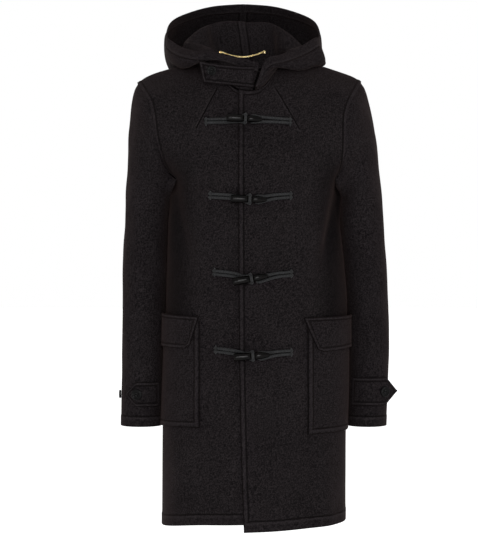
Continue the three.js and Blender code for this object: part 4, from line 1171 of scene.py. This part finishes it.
def studio():
    """A pale floor well below the coat, an even white surround and soft boxes in front."""
    mesh = bpy.data.meshes.new("floor")
    corners = ((-1, -1), (1, -1), (1, 1), (-1, 1))
    mesh.from_pydata([(x * FLOOR_HALF, y * FLOOR_HALF, FLOOR_LEVEL) for x, y in corners], [],
                     [(0, 1, 2, 3)])
    mesh.materials.append(new_material(
        "pale_floor", Roughness=0.9, Specular_IOR_Level=0.1, Base_Color=(0.9, 0.9, 0.9, 1),
        Emission_Color=(1, 1, 1, 1), Emission_Strength=0.35)[0])
    add_object("floor", mesh)

    world = bpy.data.worlds.new("white_surround")
    world.use_nodes = True
    sky = world.node_tree.nodes["Background"]
    sky.inputs["Color"].default_value = (1, 1, 1, 1)
    sky.inputs["Strength"].default_value = 1.0
    bpy.context.scene.world = world
    bpy.context.scene.view_settings.view_transform = "Standard"

    for name, place, aim, power, wide in SOFT_BOXES:
        light = bpy.data.lights.new(name, "AREA")
        light.energy = power
        light.size = wide
        lamp = add_object(name, light)
        lamp.location = place
        x, y, z = np.array(aim) - np.array(place)
        lamp.rotation_euler = (math.atan2(math.hypot(x, y), -z), 0, math.atan2(-x, y))


def camera():
    """Level with the middle of the coat and in front of it, with the coat's height in view."""
    lens = bpy.data.cameras.new("camera")
    lens.sensor_width = 36
    lens.lens = 36 * CAMERA_DISTANCE / VIEW_HEIGHT
    taker = add_object("camera", lens)
    taker.location = (-0.0198, -CAMERA_DISTANCE, -0.387)
    taker.rotation_euler = (RIGHT_ANGLE, 0, 0)
    bpy.context.scene.camera = taker


camera()
studio()


# Cloth pieces

def band(distance, turned, size):
    """Raised by size where the cloth is double, from an edge to its stitch line."""
    return size * (1 - smooth(turned - 2.0, turned + 2.2, distance))


def sewn(far, edges, lift, **fields):
    """How far a piece is raised, and its fields: its stitch line inside the edges, no dart and
    no fold unless they are given."""
    stitch, run = inset(far, *edges)
    away = far["u"] * 0 + FAR_OFF
    return lift, dict(stitch=stitch, run=run, dart=away, fold=away) | fields


def puckers(far, pitch, bend):
    """Low waves of uneven pitch along the hem's stitch line."""
    across = far["across"]
    wave = np.sin(across / pitch + 2 * np.sin(across / bend))
    return 0.3 * wave * bell(far["low"] - HEM_TURN, 7)


def dart_field(side, p):
    """Signed distance to the dart's line, and far off beyond its ends. With it come the share
    of the line's length and the plain distance."""
    from_x, from_z, to_x, to_z = DARTS[side]
    length = math.hypot(to_x - from_x, to_z - from_z)
    way = np.array([to_x - from_x, to_z - from_z]) / length
    dx, dz = p[..., 0] - from_x, p[..., 2] - from_z
    share = (dx * way[0] + dz * way[1]) / length
    off = dx * way[1] - dz * way[0]
    return np.where((share > -0.02) & (share < 1.01), off, FAR_OFF), share, off


def under_arm(place):
    """Shade beside a hanging sleeve: smooth steps of the side share and of the height."""
    side, z = np.abs(place[..., 0] - 9) / 155, place[..., 2]
    return 0.62 * smooth(0.6, 0.9, side) * smooth(-170, -235, z) * smooth(-640, -430, z)


def front_detail(side):
    def detail(far):
        neck = np.where(far["u"] <= NECK_SHARE, NECK_TURN, NO_LINE)
        arm = np.where(far["v"] >= LOWER, ARMHOLE_TURN, NO_ARMHOLE)
        edge = EDGE_TURN if side == "left" else NO_LINE
        # fold: distance from the over front's edge, along which the wool gets painted shade
        fold = far["start"] if side == "left" else far["u"] * 0 + FAR_OFF
        dart, share, off = dart_field(side, far["place"])
        lift = band(far["low"], HEM_TURN, HEM_RAISED) + band(far["end"], arm, SEAM_RAISED)
        lift += band(far["start"], edge, EDGE_RAISED) + band(far["high"], neck, NECK_RAISED)
        lift += puckers(far, 5.3, 23)
        lift += 1.1 * bell(off, 7) * smooth(-0.1, 0.3, share) * (1 - smooth(0.75, 1.15, share))
        edges = (("low", HEM_TURN), ("start", edge), ("high", neck), ("end", arm))
        return sewn(far, edges, lift, dart=dart, fold=fold, shade=under_arm(far["place"]))
    return detail


def back_detail(far):
    arm = np.where(far["v"] >= LOWER, ARMHOLE_TURN, NO_ARMHOLE)
    lift = band(far["low"], HEM_TURN, HEM_RAISED) + band(far["end"], arm, SEAM_RAISED)
    lift += band(far["start"], arm, SEAM_RAISED) + puckers(far, 6.1, 27)
    return sewn(far, (("low", HEM_TURN), ("start", arm), ("end", arm)), lift)


def creases(rows, turn, share):
    """Creases of a sleeve: bell curves across lines drawn on the sleeve laid flat."""
    height = np.zeros(turn.shape)
    for turn_a, at_a, turn_b, at_b, width, size in rows:
        ax, ay = turn_a * SLEEVE_ROUND, at_a * SLEEVE_LENGTH
        bx, by = turn_b * SLEEVE_ROUND, at_b * SLEEVE_LENGTH
        length = math.hypot(bx - ax, by - ay)
        dx, dy = turn * SLEEVE_ROUND - ax, share * SLEEVE_LENGTH - ay
        run = (dx * (bx - ax) + dy * (by - ay)) / length**2
        off = (dx * (by - ay) - dy * (bx - ax)) / length
        off = off + CREASE_BOW * np.sin(math.pi * np.clip(run, 0, 1))
        fade = smooth(-0.15, 0.25, run) * (1 - smooth(0.7, 1.15, run))
        height += size * fade * bell(off, width)
    return height


def sleeve_detail(side):
    def detail(far):
        turn, low, high = far["u"], far["low"], far["high"]
        top = smooth(0.24, 0.02, np.minimum(turn, 1 - turn))
        lift = band(high, HEM_TURN, HEM_RAISED)
        lift += 2.4 * smooth(1, 16, low) * (1 - smooth(18, 70, low)) * (0.4 + 0.6 * top)
        wave = creases(SLEEVE_CREASES[side], turn, far["v"]) + crumple(far["place"], *SLEEVE_CRUMPLE)
        lift += wave * smooth(10, 60, low) * smooth(50, 130, high)
        return sewn(far, [("high", HEM_TURN)], lift)
    return detail


def hood_detail(side):
    def detail(far):
        rim = np.minimum(RIM_TURN, 0.34 * far["height"])
        x, y = far["place"][..., 0], far["place"][..., 1]
        lift = band(far["high"], rim, 1.0) + band(far["start"], 7.0, 0.8)
        for middle, width, size in HOOD_FOLDS[side]:
            rise = (1 - smooth(0.22, 0.34, far["v"])) * smooth(0, 30, y)
            lift += size * bell(x - middle, width) * rise
        calm = smooth(8, 60, far["height"]) * smooth(0, 12, far["low"])
        lift += crumple(far["place"], *HOOD_CRUMPLE) * calm * smooth(2, 26, far["high"])
        return sewn(far, (("high", rim), ("start", 8.0)), lift * smooth(4, 50, far["height"]))
    return detail


def edged(**turns):
    """Detail of a small piece that is stitched inside the named edges, and folded at them."""
    def detail(far):
        lift = SMALL_RAISED * (1 - smooth(-1, 2.5, inset(far, *turns.items())[0]))
        # fold: distance from the folded edges, along which the wool gets painted shade
        fold = np.minimum.reduce([far[name] for name in turns])
        return sewn(far, turns.items(), lift, fold=fold)
    return detail


def panel_rows():
    """Rows of a panel: its lower part fills 0.6 of v, and the part above the underarm the rest."""
    lower = shares(596, PITCH, fine_start=24)
    upper = shares(240, PITCH)
    return np.concatenate([lower[:-4] * LOWER, LOWER + upper[4:] * (1 - LOWER)])


def cloth_piece(node, point, us, vs, sign, detail, closed=False):
    part = wall(point, us, vs, sign, detail, closed)
    piece = make_piece(node, [wool], [part])


def cut_and_sew():
    """Every cloth piece: its node, its surface, its grid and its detail."""
    for side, width in (("left", 245), ("right", 290)):
        cloth_piece("front_" + side, front_panel(side),
                    shares(width, PITCH, 14, 14), panel_rows(), SIGN[side], front_detail(side))
    cloth_piece("back", back_panel(),
                shares(450, PITCH, 14, 14), panel_rows(), 1, back_detail)
    for side in ("left", "right"):
        sign = SIGN[side]
        cloth_piece("sleeve_" + side, sleeve(side),
                    np.arange(110) / 110, shares(SLEEVE_LENGTH, PITCH, 16, 24), sign,
                    sleeve_detail(side), True)
        cloth_piece("hood_" + side, hood_half(side),
                    shares(380, 3.2, 14), shares(520, PITCH, 0, 26), sign, hood_detail(side))
        cloth_piece("pocket_" + side,
                    lying_patch(side, POCKET[side], LIE + CLOTH), shares(120, 2.6, 14),
                    shares(188, 2.6, 14), sign, edged(start=POCKET_TURN, low=POCKET_TURN))
        cloth_piece("flap_" + side,
                    lying_patch(side, FLAP[side], 2 * (LIE + CLOTH)), shares(110, 2.2, 12),
                    shares(60, 2.0, 12), sign, edged(**FLAP_TURN))
        cloth_piece("cuff_strap_" + side, cuff_strap(side),
                    shares(strap_length(side), 1.8), shares(44, 1.8), -sign,
                    edged(low=STRAP_TURN, high=STRAP_TURN, end=STRAP_TURN))
    cloth_piece("throat_tab", tab_face, shares(93, 1.8),
                shares(38, 1.8), 1, edged(low=TAB_TURN, high=TAB_TURN, start=TAB_TURN))


cut_and_sew()


# Toggles and their cords

def toggle_shape(middle, tilt):
    """A horn toggle: its outline in even steps, softened, and turned round its length."""
    outline = np.array(TOGGLE_OUTLINE)
    run = distances(outline)
    soft = interpolated(np.linspace(0, run[-1], 90), run, outline)
    for _ in range(2):
        soft[1:-1] = (soft[:-2] + 2 * soft[1:-1] + soft[2:]) / 4
    slope = math.radians(tilt)
    return turned_shape(soft, middle, (math.cos(slope), 0, math.sin(slope)), 40)


def wound(angle, run):
    """A cord's radius: strands wound both ways stand out a little from it."""
    turn, lay = 3 * angle, FULL_TURN * run / 5.0
    return CORD / 2 * (0.95 + 0.05 * np.maximum(np.sin(turn + lay), np.sin(turn - lay)))


def bar_tack(side, x, z):
    """A close row of stitches across a cord pair: a low bar over the cords with ribs across."""
    run = np.linspace(0, 2 * TACK_REACH, 80)
    height = z + TACK_REACH - run
    over = np.exp(-((np.abs(height - z) / (CORD_PITCH + 1.2)) ** 6))
    path = on_front(side, np.full(80, float(x)), height, 0.3)
    path[:, 1] -= over * (CORD - 0.4)

    def radius(angle, at):
        flat = 1 / np.hypot(np.cos(angle) / TACK_HALF, np.sin(angle) / TACK_THICK)
        return flat * (0.93 + 0.07 * np.sin(FULL_TURN * at / 0.9))

    return dict(tube(path, run, radius, 14, (0, 1, 0), 0.9), material=1)


def add_toggle(number):
    """A toggle at its waist, the cord that comes to it over the fronts and goes once round it,
    and the loop on its other side."""
    x, z, tilt, cord_x, cord_z, loop_x, loop_z = TOGGLES[number - 1]
    behind = on_front("left", x, z, CORD_SEAT)
    middle = behind - (0, CORD / 2 + 0.4 + TOGGLE_RADIUS, 0)
    make_piece(f"toggle_{number}", [horn], [toggle_shape(middle, tilt)])
    ring = WAIST + 0.2 + CORD / 2
    half = CORD_PITCH / 2
    depth, centre = middle[1], middle[2]

    def under(px, pz):
        place = on_front("right", px, pz, CORD_SEAT)
        place[1] = mix(place[1], behind[1], smooth(-47, -29, px))
        return place

    def strand(sign):
        last = (x - 15 - cord_x) / (x - cord_x)
        steps = ((0, 0), (0.22, 0.14), (0.45, 0.3), (0.64, 0.55), (last, 0.85))
        lean = sign * ring * math.tan(math.radians(tilt))
        return [
            *[under(mix(cord_x, x, a), mix(cord_z, z, b) + sign * half) for a, b in steps],
            (x - 6, behind[1] - 0.6, centre + sign * (half + 1.6)),
            (x - 1 - lean, mix(behind[1], depth, 0.55), centre + sign * (ring + 0.1)),
            (x - lean, depth, centre + sign * ring),
            (x - 0.66 * lean, depth - ring * 0.75, centre + sign * ring * 0.66),
        ]

    def arm(sign):
        return [on_front("left", px, pz, CORD_SEAT) for px, pz in (
            (loop_x, loop_z + sign * half),
            (mix(loop_x, x, 0.4), mix(loop_z, z, 0.35) + sign * (half + 0.3)),
            (x + 26, mix(loop_z, z, 0.8) + sign * (half + 1.2)),
            (x + 15, z + sign * 5.6),
            (x + 10, z + sign * 4.4),
        )]

    bend = on_front("left", x + 8, z, CORD_SEAT)
    for name, end, turn, reference, tack in (
        ("toggle_cord", strand, (x, depth - ring, centre), (1, 1, 0),
         bar_tack("right", cord_x + 3, cord_z)),
        ("loop_cord", arm, bend, (0, 1, 0),
         bar_tack("left", loop_x - 3, mix(loop_z, z, 3 / (loop_x - x) * 0.85))),
    ):
        path, run = smooth_path([*end(1), turn, *end(-1)[::-1]], 0.7)
        make_piece(f"{name}_{number}", [braid, thread],
                   [tube(path, run, wound, 18, reference), tack])


for number in range(1, len(TOGGLES) + 1):
    add_toggle(number)


# Buttons

def spot(point, u, v, sign=1):
    """A place on a surface and its outward side."""
    step = 1e-3 * np.array([-1, 0, 1])
    vs, us = np.meshgrid(v + step, u + step, indexing="ij")
    p = point(us, vs)
    return p[1, 1], unit(np.cross(p[1, 2] - p[1, 0], p[2, 1] - p[0, 1])) * sign


def add_button(name, place, outside, radius):
    """A dished disc with a rounded rim and four holes, and two threads through the holes."""
    place = place + outside * SEAT
    thick = BUTTON_THICK
    face = thick * 0.72
    rim = [(0, 0), (0, radius * 0.88), (thick * 0.12, radius * 0.96), (thick * 0.3, radius),
           (thick * 0.68, radius), (thick * 0.88, radius * 0.97), (thick, radius * 0.9),
           (thick, radius * 0.8), (thick * 0.93, radius * 0.73), (thick * 0.8, radius * 0.66)]
    inside = [(face, r) for r in np.linspace(radius * 0.6, 0, 26)]
    hole, wide = radius * 0.2, radius * 0.105

    def notch(a, b, row):
        sunk = np.zeros(np.broadcast(a, row).shape)
        for sa in (-hole, hole):
            for sb in (-hole, hole):
                sunk += smooth(wide * 1.25, wide * 0.8, np.hypot(a - sa, b - sb))
        return sunk * 1.6 * (row >= len(rim))

    parts = [turned_shape(rim + inside, place, outside, 72, notch)]
    axis = unit(outside)
    first, second = across_of(axis)
    share = np.linspace(-1, 1, 22)
    high = face + 0.45 - 1.3 * np.abs(share) ** 5
    for side in (-1, 1):
        path = place + high[:, None] * axis + (share * hole * 1.08)[:, None] * first
        path = path + side * hole * second
        parts.append(dict(tube(path, (share + 1) * hole, 0.45, 8, second, 0.9), material=1))
    make_piece("button_" + name, [resin, thread], parts)


def add_buttons():
    x, z, radius = THROAT_BUTTON
    left = (TAB["left"] + TAB["left_low"]) / 2
    u = (x - left) / (TAB["right"] - left)
    low, high = tab_face(u, np.array([0.0, 1.0]))[:, 2]
    add_button("throat", *spot(tab_face, u, (z - low) / (high - low)), radius)
    for side, sign in (("right", 1), ("left", -1)):
        u = STRAP_BUTTON[side] / strap_length(side)
        add_button("cuff_" + side, *spot(cuff_strap(side), u, 0.5, sign), BUTTON_RADIUS)
    at, turn, radius = SPARE_BUTTON
    place, _ = spot(sleeve("right"), turn / 360, at)
    add_button("spare_right", place, np.array([-1.0, 0, 0]), radius)


add_buttons()


# Hanger chain

def chain_ends():
    """A round fixing at each end, and the places on them where the chain starts."""
    radius, thick = CHAIN_FIXING
    outline = [(0, 0), (0, radius * 0.9), (thick * 0.3, radius), (thick * 0.7, radius),
               (thick, radius * 0.85), (thick, radius * 0.4), (thick * 0.8, 0)]
    ends = []
    for side in ("right", "left"):
        place, out = spot(hood_half(side), *CHAIN_END[side], SIGN[side])
        place = place + out * (LIE + 0.6)
        make_piece("hanger_end_" + side, [gold], [turned_shape(outline, place, out, 32)])
        ends.append(place + out * (thick + 0.2 + CHAIN / 2))
    return ends


def add_hanger():
    """Oval links along a hanging line, each turned a quarter from the last."""
    share = np.linspace(0, 1, 41)
    dip = 4 * share * (1 - share)
    line = mix(*chain_ends(), share[:, None])
    line[:, 1] -= CHAIN_FORWARD * np.sqrt(dip)
    line[:, 2] -= CHAIN_SAG * dip
    path, run = smooth_path(line, 0.5)
    count = int(run[-1] // LINK_PITCH)
    middle = (np.arange(count) + 0.5) / count * run[-1]
    at = interpolated(middle, run, path)
    way = unit(interpolated(middle + 0.4, run, path) - interpolated(middle - 0.4, run, path))
    flat = unit(np.cross(way, (0, 1, 0)))
    roll = np.where(np.arange(count) % 2 == 0, 0.9, -0.7)[:, None]
    across = flat * np.cos(roll) + np.cross(way, flat) * np.sin(roll)
    normal = np.cross(way, across)
    a = np.arange(LINK_SIDES) / LINK_SIDES * FULL_TURN
    b = np.arange(WIRE_SIDES) / WIRE_SIDES * FULL_TURN
    long, wide, wire = LINK
    reach = np.stack([long * np.cos(a), wide * np.sin(a)], -1)
    side = unit(np.stack([np.cos(a) / long, np.sin(a) / wide], -1))
    bowl = reach[:, None] + side[:, None] * (wire * np.cos(b))[None, :, None]
    rise = np.broadcast_to(wire * np.sin(b), (LINK_SIDES, WIRE_SIDES))
    points = (at[:, None, None] + bowl[None, ..., 0, None] * way[:, None, None]
              + bowl[None, ..., 1, None] * across[:, None, None]
              + rise[None, ..., None] * normal[:, None, None])
    i, j = np.meshgrid(np.arange(LINK_SIDES), np.arange(WIRE_SIDES), indexing="ij")
    i, j = i.ravel() * WIRE_SIDES, j.ravel()
    after_i, after_j = (i + WIRE_SIDES) % (LINK_SIDES * WIRE_SIDES), (j + 1) % WIRE_SIDES
    link = np.stack([i + j, after_i + j, after_i + after_j, i + after_j], -1)
    first = np.arange(count) * LINK_SIDES * WIRE_SIDES
    faces = (link[None] + first[:, None, None]).reshape(-1, 4)
    make_piece("hanger_chain", [gold], [dict(points=points.reshape(-1, 3), faces=faces)])


add_hanger()
